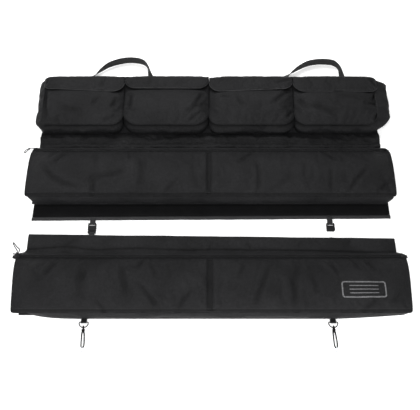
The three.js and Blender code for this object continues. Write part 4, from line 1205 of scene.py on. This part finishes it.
def pocket(i):
    a, b = PF[i]
    ra, rb = PR[i]
    body = "pocket_panel"
    U = resample(u_path(a, b, ra, rb), 7.4, closed=False)
    out = np.vstack([U, [(b, 552), (a, 552)]])
    pts, tris, nb = panel(out, 7.4)
    def zb(y, x=None):
        z = np.interp(y, [317, 548], [60.0, 64.5])
        if x is None:
            return z
        mid_side = smooth((y - 335) / 60) * smooth((535 - y) / 40)
        inner_l = 0.0 if i == 0 else 1.0
        inner_r = 0.0 if i == 3 else 1.0
        k = inner_l * np.exp(-(x - a) / 14.0) + inner_r * np.exp(-(b - x) / 14.0)
        return z - 9.0 * mid_side * np.clip(k, 0, 1)

    fp, fl = spline(FACE)
    d = edge_distance(U, pts, closed=False)
    z = zb(pts[:, 1], pts[:, 0]) + (np.interp(pts[:, 1], fp[:, 0], fp[:, 1]) - zb(pts[:, 1])) * (1 - np.exp(-d / 34))
    n = fbm(np.c_[pts, np.zeros(len(pts))], 0.014, 40 + 7 * i)
    low = smooth((500 - pts[:, 1]) / 40)
    z += n * 2.6 * smooth(d / 50) * low
    o = make(f"pocket_{i + 1}_cloth", np.c_[pts, z], tris, "shell", pts)
    keep = 0.12 + 0.88 * low
    simulate(o, np.arange(nb), frames=14, pressure=6.5, grow=0.022, cap=10.0, bending=2.0, keep=keep)
    refine(o)
    p = local(o)
    strokes(o, p[:, :2].copy(), POCKET_MARKS[i])
    p = local(o)
    d2 = edge_distance(U, p[:, :2], closed=False)
    # tucks along the seam
    run = np.argmin(np.linalg.norm(p[:, None, :2] - U[None, ::2, :], axis=2), axis=1) * 14.8
    tuck = fbm(np.c_[run, np.zeros((len(run), 2))], 0.04, 60 + i, 2) * np.exp(-(d2 / 16) ** 2) * 2.4
    p[:, 2] += tuck * np.clip(d2 / 4, 0, 1)
    over = smooth((p[:, 1] - 478) / 25)
    p[:, 2] = np.where(over > 0, np.minimum(p[:, 2], 81 * (1 - over) + (np.interp(p[:, 1], [478, 503, 552], [78.0, 74.5, 64.5])) * over), p[:, 2])
    put(o, p)
    # painted shadow under the flap's lip (lip_y is where the lip lies), painted shade along the seam; pockets 1 and 4
    # get painted shade in the fold by their outer side
    lip_y = LIP[i][0] + (LIP[i][1] - LIP[i][0]) * np.clip((p[:, 0] - a) / (b - a), 0, 1)
    side = np.minimum(p[:, 0] - a + (10 if i == 0 else 0), b - p[:, 0] + (18 if i == 3 else 0))
    lip_y = lip_y + 44.0 * (1 - np.sqrt(np.clip(1 - (1 - np.clip(side / 46.0, 0, 1)) ** 2, 0, 1)))
    sh = get_shade(o) + 0.85 * smooth((p[:, 1] - lip_y + 7) / 7) + 0.2 * np.exp(-(d2 / 5) ** 2)
    if i == 0:
        sh += 0.4 * np.exp(-((p[:, 0] - a - 10) / 13) ** 2) * smooth((p[:, 1] - 330) / 30)
    if i == 3:
        sh += 0.35 * np.exp(-((b - p[:, 0] - 8) / 12) ** 2) * smooth((p[:, 1] - 400) / 30)
    set_shade(o, sh)
    thicken(o, 1.5, 0)
    on(o, body, "shell_cloth", f"pocket_{i + 1}_front")

    # gusset: on up under the flap at both ends
    UF, rise = U, [(567.5, 43.0), (562.0, 54.0), (555.0, 61.0)]
    U = np.vstack([[(a, v) for v, _z in rise], U, [(b, v) for v, _z in rise[::-1]]])
    tan = np.gradient(U, axis=0)
    tan /= np.linalg.norm(tan, axis=1)[:, None]
    nrm = np.c_[tan[:, 1], -tan[:, 0]]
    outer = np.zeros(len(U))
    if i == 0:
        outer = smooth(np.clip(-nrm[:, 0], 0, 1))
    if i == 3:
        outer = smooth(np.clip(nrm[:, 0], 0, 1))
    bottom = smooth(np.clip(-nrm[:, 1], 0, 1))
    base = U - nrm * (3.0 - 15.0 * outer - 12.5 * bottom)[:, None]
    base[:, 0] = np.clip(base[:, 0], -676, 676)
    K = np.linspace(0, 1, 12)
    P = np.zeros((len(U), len(K), 3))
    zb_ = zb(U[:, 1], U[:, 0])
    zb_[:3] = [v for _y, v in rise]
    zb_[-3:] = [v for _y, v in rise[::-1]]
    narrow = 0.35 + 0.65 * smooth((572 - U[:, 1]) / 26)
    bulge_side = np.sin(np.pi * K) ** 0.8
    bulge_low = np.interp(K, [0, 0.15, 0.35, 0.55, 0.72, 0.9, 1], [0, -0.1, 0.4, 1.0, 0.7, -0.12, 0])
    run = np.concatenate([[0], np.cumsum(np.linalg.norm(np.diff(U, axis=0), axis=1))])
    for j, k in enumerate(K):
        q = base + (U - base) * k
        n1 = fbm(np.c_[run * 0.5, np.full(len(run), k * 70), np.zeros(len(run))], 0.02, 80 + i * 3)
        amt = (outer * (27.0 * smooth((U[:, 1] - 330) / 24) if i == 0 else 57.0 * smooth((U[:, 1] - 330) / 60)) + (1 - outer) * (1 - bottom) * 0.2) * bulge_side[j] + bottom * 10.0 * bulge_low[j] * (1 + 0.6 * n1)
        amt = amt * narrow + n1 * 2.2 * np.sin(np.pi * k) * (0.4 + 2.2 * outer)
        q = q + nrm * amt[:, None]
        P[:, j] = np.c_[q, 3.3 + k * (zb_ - 3.3)]
    # painted shade: dark at the foot, under the front's seam, and on the side walls between pockets
    sh = 0.75 * (1 - smooth((K - 0.1) / 0.35))[None, :] + (0.85 * smooth((K - 0.74) / 0.2))[None, :] * bottom[:, None] + 0.7 * ((1 - bottom) * (1 - outer))[:, None]
    g = grid(f"pocket_{i + 1}_gusset_cloth", P, "shell", thick=False, shade=sh)
    ids = np.arange(P.shape[0] * P.shape[1]).reshape(P.shape[:2])
    simulate(g, np.unique(np.concatenate([ids[:, 0], ids[:, -1], ids[0], ids[-1]])), frames=9, pressure=0.5, grow=0.04, cap=2.5)
    thicken(g, 1.3, 1)
    on(g, body, "shell_cloth", f"pocket_{i + 1}_gusset")
    # piping round the seam, with painted shade on it
    low_part = UF[:, 1] < 420
    pipe = tube(f"pocket_{i + 1}_piping", np.c_[UF, zb_[3:-3] + 0.1][low_part], 1.2, "shell", radial=8, shade=0.25)
    on(pipe, body, "shell_cloth")
    # hem of the mouth
    hx = np.linspace(a, b, 40)
    hem = tube(f"pocket_{i + 1}_hem", np.c_[hx, np.full(40, 551.0), np.interp(np.minimum(hx - a, b - hx), [0, 60], [64.5, 65.0])], 1.7, "bind", radial=8)
    on(hem, body, "shell_cloth")

    # flap
    fa, fb = a + (-10 if i == 0 else 0.2), b - (-18 if i == 3 else 0.2)
    fprof, FL = spline(FLAP, 200)
    arc = np.linspace(0, FL, 200)
    s_of = lambda y: float(np.interp(-y, -fprof[:, 0], arc))
    sl, sr = s_of(LIP[i][0]), s_of(LIP[i][1])
    R = 46.0
    outl = [(fa, 0.0), (fb, 0.0)]
    for k in range(0, 9):
        t = math.radians(90 * k / 8)
        outl.append((fb - R + R * math.cos(t), sr - R + R * math.sin(t)))
    for k in range(0, 9):
        t = math.radians(90 + 90 * k / 8)
        outl.append((fa + R + R * math.cos(t), sl - R + R * math.sin(t)))
    outl = np.array(outl)
    pts, tris, nb = panel(outl, 7.0)
    y, z = on_profile(fprof, FL, pts[:, 1])
    side = np.minimum(pts[:, 0] - fa, fb - pts[:, 0])
    front_part = smooth((pts[:, 1] - 62) / 25)
    drape = (17.0 if i == 0 else 0.0) * np.exp(-(pts[:, 0] - fa) / 20.0) + (19.0 if i == 3 else 0.0) * np.exp(-(fb - pts[:, 0]) / 22.0)
    z = z - drape * smooth((pts[:, 1] - 20) / 50) - front_part * 5.5 * np.exp(-side / 10.0) + fbm(np.c_[pts, np.zeros(len(pts))], 0.02, 100 + 5 * i) * 1.2 * front_part
    y = y - np.exp(-side / 12.0) * 1.2 * smooth(1 - np.abs(pts[:, 1] - 62) / 45)
    if i == 2:
        back = (1 - front_part) * np.exp(-(pts[:, 0] - fa) / 42.0)
        y, z = y - 4.5 * back, z - 4.5 * back * smooth(pts[:, 1] / 40)
    # flip the triangles: pattern's second axis runs down the flap
    o = make(f"pocket_{i + 1}_flap_cloth", np.c_[pts[:, 0], y, z], [t[::-1] for t in tris], "shell", pts)
    simulate(o, np.arange(nb), frames=9, pressure=1.6, grow=0.015, cap=2.5)
    refine(o)
    p = local(o)
    marks = {
        0: [(path_px([(49, 78), (46, 83)], 80), 5, -1.6), (path_px([(103, 80), (101, 86)], 80), 9, -1.8)],
        1: [(path_px([(150, 80), (148, 86)], 80), 12, -1.2)],
        2: [(path_px([(276, 82.5), (290, 79.5)], 80), 6, -2.2)],
        3: [(path_px([(371, 79.5), (377, 86)], 80), 7, -2.6)],
    }[i]
    strokes(o, p[:, :2].copy(), marks)
    p = local(o)
    put(o, p)
    thicken(o, 1.6, 0, side=-1.0)
    on(o, f"flap_{i + 1}", "shell_cloth", f"pocket_{i + 1}_flap")
    t = tree(o)
    # hem roll and stitch line along the lip
    lip = resample(outl[2:], 5.0, closed=False)
    ly, lz = on_profile(fprof, FL, lip[:, 1])
    ls = np.minimum(lip[:, 0] - fa, fb - lip[:, 0])
    lf = smooth((lip[:, 1] - 62) / 25)
    lz = lz - lf * 5.5 * np.exp(-ls / 10.0) - ((17.0 if i == 0 else 0.0) * np.exp(-(lip[:, 0] - fa) / 20.0) + (19.0 if i == 3 else 0.0) * np.exp(-(fb - lip[:, 0]) / 22.0)) * smooth((lip[:, 1] - 20) / 50)
    roll = tube(f"pocket_{i + 1}_lip", np.c_[lip[:, 0], ly, lz - 0.9], 1.35, "bind", radial=8)
    on(roll, f"flap_{i + 1}", "shell_cloth")
    mid = np.array([(fa + fb) / 2, 70.0])
    ins = lip - (lip - mid) / np.linalg.norm(lip - mid, axis=1)[:, None] * 0
    nl = np.gradient(lip, axis=0)
    nl /= np.linalg.norm(nl, axis=1)[:, None]
    inw = np.c_[-nl[:, 1], nl[:, 0]]
    if np.sum(inw * (mid - lip)) < 0:
        inw = -inw
    sq = lip + inw * 7.0
    sy, _ = on_profile(fprof, FL, sq[:, 1])
    q, n = [], []
    for (x, _s), yy in zip(sq, sy):
        if yy > 548:
            continue
        h, m = drop(t, x, yy, 0.25, 80)
        q.append((x, yy, h))
        n.append(m)
    if len(q) > 4:
        s = stitches(f"pocket_{i + 1}_lip_stitch", q, n)
        on(s, f"flap_{i + 1}", "shell_cloth")


for i in range(4):
    pocket(i)

# wall between neighbouring pockets, under the meeting flaps, in painted shade
for k, xw in enumerate((-350.0, -4.0, 340.0)):
    yw = np.array([520, 535, 548, 556, 563, 568, 571.5])
    P = np.zeros((len(yw), 6, 3))
    for j, w in enumerate(np.linspace(0, 1, 6)):
        zt = np.interp(yw, [520, 548, 556, 563, 568, 571.5], [60, 64, 66, 62, 52, 34])
        P[:, j] = np.c_[xw + 0.35 * np.sin(yw * 0.3 + w * 4), yw, 3.3 + w * (zt - 3.3)]
    wall = grid(f"pocket_wall_{k + 1}", P, "shell", 0.6, 0, shade=np.full(P.shape[:2], 0.5))
    on(wall, "pocket_panel", "shell_cloth")

# bound top edge of the pocket panel
Xb = np.linspace(-681, 681, 200)
P = np.zeros((len(Xb), 7, 3))
for j, (y, z) in enumerate([(578, 3.6), (584, 3.9), (588.5, 3.2), (589.4, 1.5), (588.5, 0.2), (584, -0.0), (578, 0.0)]):
    P[:, j] = np.c_[Xb, np.full(len(Xb), y), np.full(len(Xb), z)]
bd = grid("panel_binding", P, "bind", 0.7, 0)
on(bd, "pocket_panel", "panel_cloth")

# ------------------------------------------------------------------ lower section's flap and tape

FT = (-129.5, -146.0)      # far edge of the flap, left and right, as it lies
Xl = np.linspace(-671, 681, 170)
k = (Xl + 681) / 1362
top = FT[0] + (FT[1] - FT[0]) * k + fbm(np.c_[Xl, np.zeros((len(Xl), 2))], 0.01, 51.0, 2) * 1.2
crease_px = [(27.4, 249.7), (65.8, 246.9), (96, 250.4), (137, 248.3), (178, 250.4), (214, 249.7), (287, 250.4), (342, 251.7), (394, 254.5)]
cw = np.array([px(x, y, 9) for x, y in crease_px])
crease = np.interp(Xl, cw[:, 0], cw[:, 1])
crease = np.convolve(np.pad(crease, 4, mode="edge"), np.ones(9) / 9, "valid")
rows = [(0.0, 12.6), (0.06, 13.4), (0.2, 13.8), (0.4, 14.0), (0.6, 13.8), (0.78, 13.4), (0.9, 12.2), (1.0, 9.6)]
P = np.zeros((len(Xl), len(rows) + 6, 3))
for j, (w, z) in enumerate(rows):
    P[:, j] = np.c_[Xl, top + (crease - top) * w, np.full(len(Xl), z)]
# from the crease up to the zip band
end_y, end_z = LY + 247.0, 16.5
for j, (w, z) in enumerate([(0.12, 9.4), (0.3, 11.5), (0.5, 14.2), (0.7, 16.2), (0.86, 17.4), (1.0, 18.0)]):
    P[:, len(rows) + j] = np.c_[Xl * (1 + 0.012 * w), crease + (LY + 244.0 - crease) * w, np.full(len(Xl), z)]
flat = P.reshape(-1, 3)
f1 = fbm(np.c_[flat[:, 0] * 0.5, flat[:, 1] * 0.7, np.zeros(len(flat))], 0.025, 70.0).reshape(P.shape[:2])
f2 = fbm(np.c_[flat[:, 0] * 1.1 + flat[:, 1] * 0.8, flat[:, 1] * 0.4, np.zeros(len(flat))], 0.03, 77.0).reshape(P.shape[:2])
amp = np.concatenate([np.interp([r[0] for r in rows], [0, 0.1, 0.5, 1], [0.25, 0.6, 1.0, 0.5]), [0.5, 0.8, 1, 0.8, 0.4, 0.1]])[None, :]
P[:, :, 2] += (f1 * 2.0 + f2 * 1.4) * amp
P[:, :, 2] = np.maximum(P[:, :, 2], 6.2)
lf = grid("lower_flap_cloth", P[:, ::-1], "shell", thick=False)
ids = np.arange(P.shape[0] * P.shape[1]).reshape(P.shape[:2])
simulate(lf, np.unique(np.concatenate([ids[:, 0], ids[:, -1], ids[0], ids[-1]])), frames=9, pressure=0.8, grow=0.03, cap=2.0)
p = local(lf)
lmarks = [
    (path_px([(65, 246), (75, 240), (84, 236)], 13), 6, -1.8), (path_px([(207, 252), (214, 240)], 13), 5, -1.6),
    (path_px([(104, 243), (112, 237)], 13), 9, -1.4), (path_px([(345, 243), (352, 240)], 13), 7, -1.6),
    (path_px([(298, 246), (303, 241)], 13), 7, -1.4), (path_px([(160, 244), (166, 238)], 13), 8, -1.2), (path_px([(252, 248), (246, 242)], 13), 8, -1.2),
    (path_px([(60, 250), (72, 256)], 15), 5, -1.4),
]
strokes(lf, p[:, :2].copy(), lmarks)
p = local(lf)
p[:, 2] = np.maximum(p[:, 2], 6.0)
put(lf, p)
# painted shade along the crease
cr = np.interp(p[:, 0], Xl, crease)
set_shade(lf, get_shade(lf) + 0.75 * np.exp(-((p[:, 1] - cr) / 3.6) ** 2))
thicken(lf, 1.4, 1)
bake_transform(lf)
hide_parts("lower_top_flap")
tl = tree(lf)
q = []
for x, yy in zip(Xl, top - 4.0):
    q.append((x, yy, drop(tl, x, yy, 0.25, 13)[0]))
s = stitches("lower_flap_stitch", q, np.tile([0, 0, 1.0], (len(q), 1)))
on(s, "lower_flap", "shell_cloth")
q = np.c_[Xl, top - 0.5, np.full(len(Xl), 12.2)]
on(tube("lower_flap_edge", q, 1.2, "bind", radial=8), "lower_flap", "shell_cloth")
ht = slab("hook_tape_pile", -667, 674, -174, -136, 8.4, 10.2, "pile", cell=10, rim=3, wave=0.2, y0b=-186, y1b=-151, seed=9)
on(ht, "lower_flap", "hook_and_loop", "hook_tape")

# ------------------------------------------------------------------ webbing

def spline3(points, n):
    p = np.asarray(points, float)
    q = np.vstack([2 * p[0] - p[1], p, 2 * p[-1] - p[-2]])
    out = []
    for i in range(1, len(q) - 2):
        a, b, c, d = q[i - 1], q[i], q[i + 1], q[i + 2]
        for t in np.linspace(0, 1, 16, endpoint=False):
            out.append(0.5 * ((2 * b) + (c - a) * t + (2 * a - 5 * b + 4 * c - d) * t * t + (3 * b - a - 3 * c + d) * t ** 3))
    out.append(p[-1])
    out = np.array(out)
    t = np.concatenate([[0], np.cumsum(np.linalg.norm(np.diff(out[:, :3], axis=0), axis=1))])
    q = np.linspace(0, t[-1], n)
    return np.stack([np.interp(q, t, out[:, k]) for k in range(out.shape[1])], 1)


def handle(name, xy):
    z = [4.6, 4.6, 9, 14, 17.5, 18.5, 18.5, 18.5, 18, 16, 12.5, 6, 4.6, 4.6]
    wide = [(1, 0, 0), (1, 0, 0), (0.6, -0.4, 0.75), (0, -0.2, 1)] + [(0, 0, 1)] * 6 + [(0.5, 0, 1), (0.95, 0, 0.5), (1, 0, 0), (1, 0, 0)]
    width = [30, 30, 26, 26, 32, 36, 36, 36, 34, 30, 24, 24, 28, 30]
    rows = spline3([[x, y, z[i]] + list(wide[i]) + [width[i]] for i, (x, y) in enumerate(xy)], 120)
    o = ribbon(f"{name}_webbing", rows[:, :3], rows[:, 3:6], rows[:, 6], 2.4, "web")
    on(o, name, "webbing", name)


handle("handle_left", [
    (-511, 591.4), (-511, 601), (-492, 619), (-465, 644), (-433, 669), (-390, 687), (-350, 695),
    (-311, 692.5), (-283, 682), (-267, 663), (-259, 634), (-252, 612), (-249, 600), (-249, 591.4)])
handle("handle_right", [
    (313, 591.4), (313, 601), (329, 619), (354, 637), (384, 658), (418, 676), (457, 685.5),
    (497, 686), (529, 679.5), (549, 660), (556, 637), (560, 614), (562, 601), (562, 591.4)])


def loop_path(bar, tail_y, tail_z, t, eye):
    """Centre line of webbing that comes in flat, goes over the bar, round it and back underneath."""
    by, bz = bar
    s = np.sign(by - tail_y)
    r = eye + t / 2 + 0.05
    q = [(tail_y, tail_z + t / 2 + 0.4)]
    q.append((by - s * (r + 7), tail_z + t / 2 + 1.2))
    for a in np.linspace(70, -80, 11):
        a = math.radians(a)
        q.append((by + s * r * math.cos(a), bz + r * math.sin(a)))
    q.append((by - s * (r + 3.5), bz - r + 0.2))
    q.append((by - s * (r + 9.5), max(bz - r, tail_z + 0.2)))
    return np.array(q)


def strap(name, node, body, xc, bar, tail_y, tail_z, t, eye, width=20.0, tail_to=None):
    q = loop_path(bar, tail_y if tail_to is None else tail_to, tail_z, t, eye)
    path = spline3(np.c_[np.full(len(q), xc), q], 64)
    o = ribbon(name, path, np.tile([1, 0, 0.0], (len(path), 1)), width, min(t, 1.5), "web")
    on(o, body, "webbing", node)
    return o


strap("strap_left_webbing", "strap_left", "joining_strip", -440, (-83.5, 5.8), -60.0, 3.4, 1.6, 2.3)
strap("strap_right_webbing", "strap_right", "joining_strip", 450, (-83.5, 5.8), -52.0, 3.4, 1.6, 2.3)
strap("lower_strap_left_webbing", "lower_strap_left", "lower_case", -440, (-119.5, 5.8), -199.2, 3.3, 1.6, 2.3)
strap("lower_strap_right_webbing", "lower_strap_right", "lower_case", 450, (-160.5, 4.2), -199.2, 3.3, 1.2, 2.3)
for side, xc in (("left", -437.5), ("right", 427.0)):
    strap(f"hitch_{side}_webbing", f"hitch_tab_{side}", "lower_case", xc, (-463.5, 7.0), -440.0, 3.2, 1.5, 2.7)

# loops where the lower zip stops
for side, s in (("left", -1), ("right", 1)):
    q = spline3([(s * 690, -221, 29.2), (s * 700, -223.5, 29.6), (s * 709, -226, 29.4), (s * 712.5, -227, 28.2), (s * 709, -228, 27.2), (s * 700, -229.5, 27.0), (s * 690, -231, 27.0)], 40)
    o = ribbon(f"zip_tab_{side}_webbing", q, np.tile([0, 1.0, 0], (len(q), 1)), np.interp(np.abs(q[:, 0]), [690, 713], [18, 8]), 1.1, "web")
    on(o, "lower_case", "webbing", f"lower_zip_tab_{side}")

# ------------------------------------------------------------------ elastic cords, pull cords

for side, xc in (("left", -437.5), ("right", 427.0)):
    rz, yb = 7.0, -483.0
    c = [
        (0, yb + 5.0, rz), (0.3, yb + 2.8, rz + 4.1), (1.0, yb - 2, rz + 5.0), (2.6, yb - 10, rz + 1.6), (5, yb - 24, 6.2), (6.8, yb - 42, 6.2), (7.6, yb - 56, 6.2),
        (6.8, yb - 66, 6.2), (2.4, yb - 70, 6.2), (-2.0, yb - 66, 6.2), (-2.8, yb - 56, 6.2), (-3.2, yb - 42, 6.2), (-3.6, yb - 24, 6.0), (-2.6, yb - 10, 2.6),
        (-1.0, yb - 2, rz - 4.8), (-0.3, yb + 2.6, rz - 3.9),
    ]
    c = np.array([(xc + x, y, max(z, 2.1)) for x, y, z in c])
    c = spline3(np.vstack([c, c[:1]]), 150)[:-1]
    o = tube(f"cord_{side}_elastic", c, 2.3, "cord", radial=10, closed=True)
    on(o, f"cord_{side}", "elastic_cord", f"cord_{side}")
    # whipping below the ring, where the two runs of the cord are bound
    run = np.c_[xc + np.linspace(0.2, 0.6, 11), yb + np.linspace(-6.5, -17.5, 11), np.linspace(6.6, 6.0, 11)]
    w = tube(f"cord_{side}_whipping", run, 4.1, "cord", radial=14, flat=(np.linspace(6.4, 4.3, 11), np.linspace(4.4, 3.7, 11)))
    on(w, f"cord_{side}", "elastic_cord")

pc = spline3([(-706, 236, 34), (-713, 233.5, 35), (-721, 228, 35.5), (-727, 221, 35), (-729, 216, 34.5), (-725, 214.5, 34), (-721, 219, 33.8), (-716, 226, 34), (-709, 231.5, 34)], 50)
on(tube("upper_pull_cord", pc, 1.9, "cord", radial=8), "upper_pull", "zip_metal")
pc = spline3([(-700, -217, 34), (-696.5, -209, 35.5), (-701, -200, 36), (-707, -192, 36), (-712.5, -183, 36), (-716.5, -175.5, 36), (-712.5, -175, 35.5), (-706.5, -183.5, 35), (-699, -191.5, 34.5), (-691, -199, 34.3), (-690.5, -208, 34), (-695.5, -216, 34)], 70)
on(tube("lower_pull_cord", pc, 1.9, "cord", radial=8), "lower_pull", "zip_metal")

# ------------------------------------------------------------------ plain patch on the lower front (generic; no lettering)


def applique(name, t, path, width, mat="label", closed=True, rise=0.5, cols=5):
    p = resample(np.asarray(path, float), 3.0, closed)
    nxt = np.roll(p, -1, 0) if closed else np.vstack([p[1:], p[-1:]])
    prv = np.roll(p, 1, 0) if closed else np.vstack([p[:1], p[:-1]])
    d = nxt - prv
    d /= np.linalg.norm(d, axis=1)[:, None] + 1e-9
    n = np.c_[d[:, 1], -d[:, 0]]
    P = np.zeros((len(p) + (1 if closed else 0), cols, 3))
    for j in range(cols):
        k = -1 + 2 * j / (cols - 1)
        q = p + n * k * width / 2
        h = np.array([drop(t, x, y, rise * (1.0 - 0.5 * k * k), 70)[0] for x, y in q])
        P[: len(p), j] = np.c_[q, h]
    if closed:
        P[-1] = P[0]
    o = grid(name, P, mat, 0.35, 0, flip=False)
    fix_normals(o)
    return o


cx, cy = px(363.8, 289.8, 76)
frame_path = rounded(cx - 74, cx + 74, cy - 27, cy + 27, (7, 7, 7, 7), 5)
on(applique("patch_border", t_lower, frame_path, 5.0), "lower_front", "shell_cloth")
for k in (-1, 0, 1):
    bar_path = [(cx - 50, cy + 13 * k), (cx + 50, cy + 13 * k)]
    on(applique(f"patch_bar_{k + 1}", t_lower, bar_path, 3.2, closed=False), "lower_front", "shell_cloth")

# ------------------------------------------------------------------ CAD parts: finishes

FINISH = {
    "plastic": [n for n in frame["nodes"] if n.startswith("buckle_")] + ["d_ring_left", "d_ring_right"],
    "zinc": [n for n in frame["nodes"] if n.endswith("zip_slider") or n.endswith("zip_pull")],
    "steel": ["hook_left", "hook_right"],
}
for mat, names in FINISH.items():
    for n in names:
        o = frame["nodes"][n]
        o.data.materials.clear()
        o.data.materials.append(M[mat])
        o.data.polygons.foreach_set("use_smooth", [True] * len(o.data.polygons))
        w = o.modifiers.new("weld", "WELD")
        w.merge_threshold = 0.00002
        if mat != "steel" and not n.startswith("d_ring"):
            bv = o.modifiers.new("edge", "BEVEL")
            bv.width = 0.0004 if "zip" in n or "prong" in n else 0.0006
            bv.segments = 2
            bv.limit_method = "ANGLE"
            bv.angle_limit = math.radians(40)
            bv.harden_normals = False
        else:
            sb = o.modifiers.new("round", "SUBSURF")
            sb.levels = sb.render_levels = 1

# ------------------------------------------------------------------ room, light and camera

bpy.ops.mesh.primitive_plane_add(size=30, location=(0, 0, -0.0016))
floor = bpy.context.object
floor.name = "floor"
fm, nt, b = new_mat("floor_m")
b.inputs["Base Color"].default_value = (0.86, 0.86, 0.86, 1)
b.inputs["Roughness"].default_value = 0.9
b.inputs["Specular IOR Level"].default_value = 0.1
b.inputs["Emission Color"].default_value = (1, 1, 1, 1)
b.inputs["Emission Strength"].default_value = 0.3
floor.data.materials.append(fm)

world_ = bpy.data.worlds.new("w")
scene.world = world_
world_.use_nodes = True
bg = world_.node_tree.nodes["Background"]
bg.inputs[0].default_value = (1, 1, 1, 1)
bg.inputs[1].default_value = 0.28


def area(name, loc, target, size, power, size_y=None):
    d = bpy.data.lights.new(name, "AREA")
    d.shape = "RECTANGLE"
    d.size = size
    d.size_y = size_y or size
    d.energy = power
    o = bpy.data.objects.new(name, d)
    scene.collection.objects.link(o)
    o.location = loc
    o.rotation_euler = (Vector(target) - Vector(loc)).to_track_quat("-Z", "Y").to_euler()
    return o


area("key", (-0.15, 1.5, 1.5), (-0.05, 0.0, 0), 1.2, 38, 0.7)
area("front", (0.1, -2.1, 1.0), (0, -0.1, 0), 2.2, 46, 0.7)
area("fill", (0, -1.25, 2.25), (0, 0.0, 0), 2.0, 46, 1.0)
area("side", (-1.9, 0.3, 1.2), (0, 0.1, 0), 0.9, 14, 0.9)

cam_d = bpy.data.cameras.new("cam")
cam = bpy.data.objects.new("cam", cam_d)
scene.collection.objects.link(cam)
cam.location = (0, -1.270, 2.163)
cam.rotation_euler = (math.radians(28), 0, 0)
cam_d.lens = 55.03
cam_d.sensor_width = 36
cam_d.clip_end = 50
scene.camera = cam
scene.view_settings.view_transform = "Standard"
scene.view_settings.look = "None"
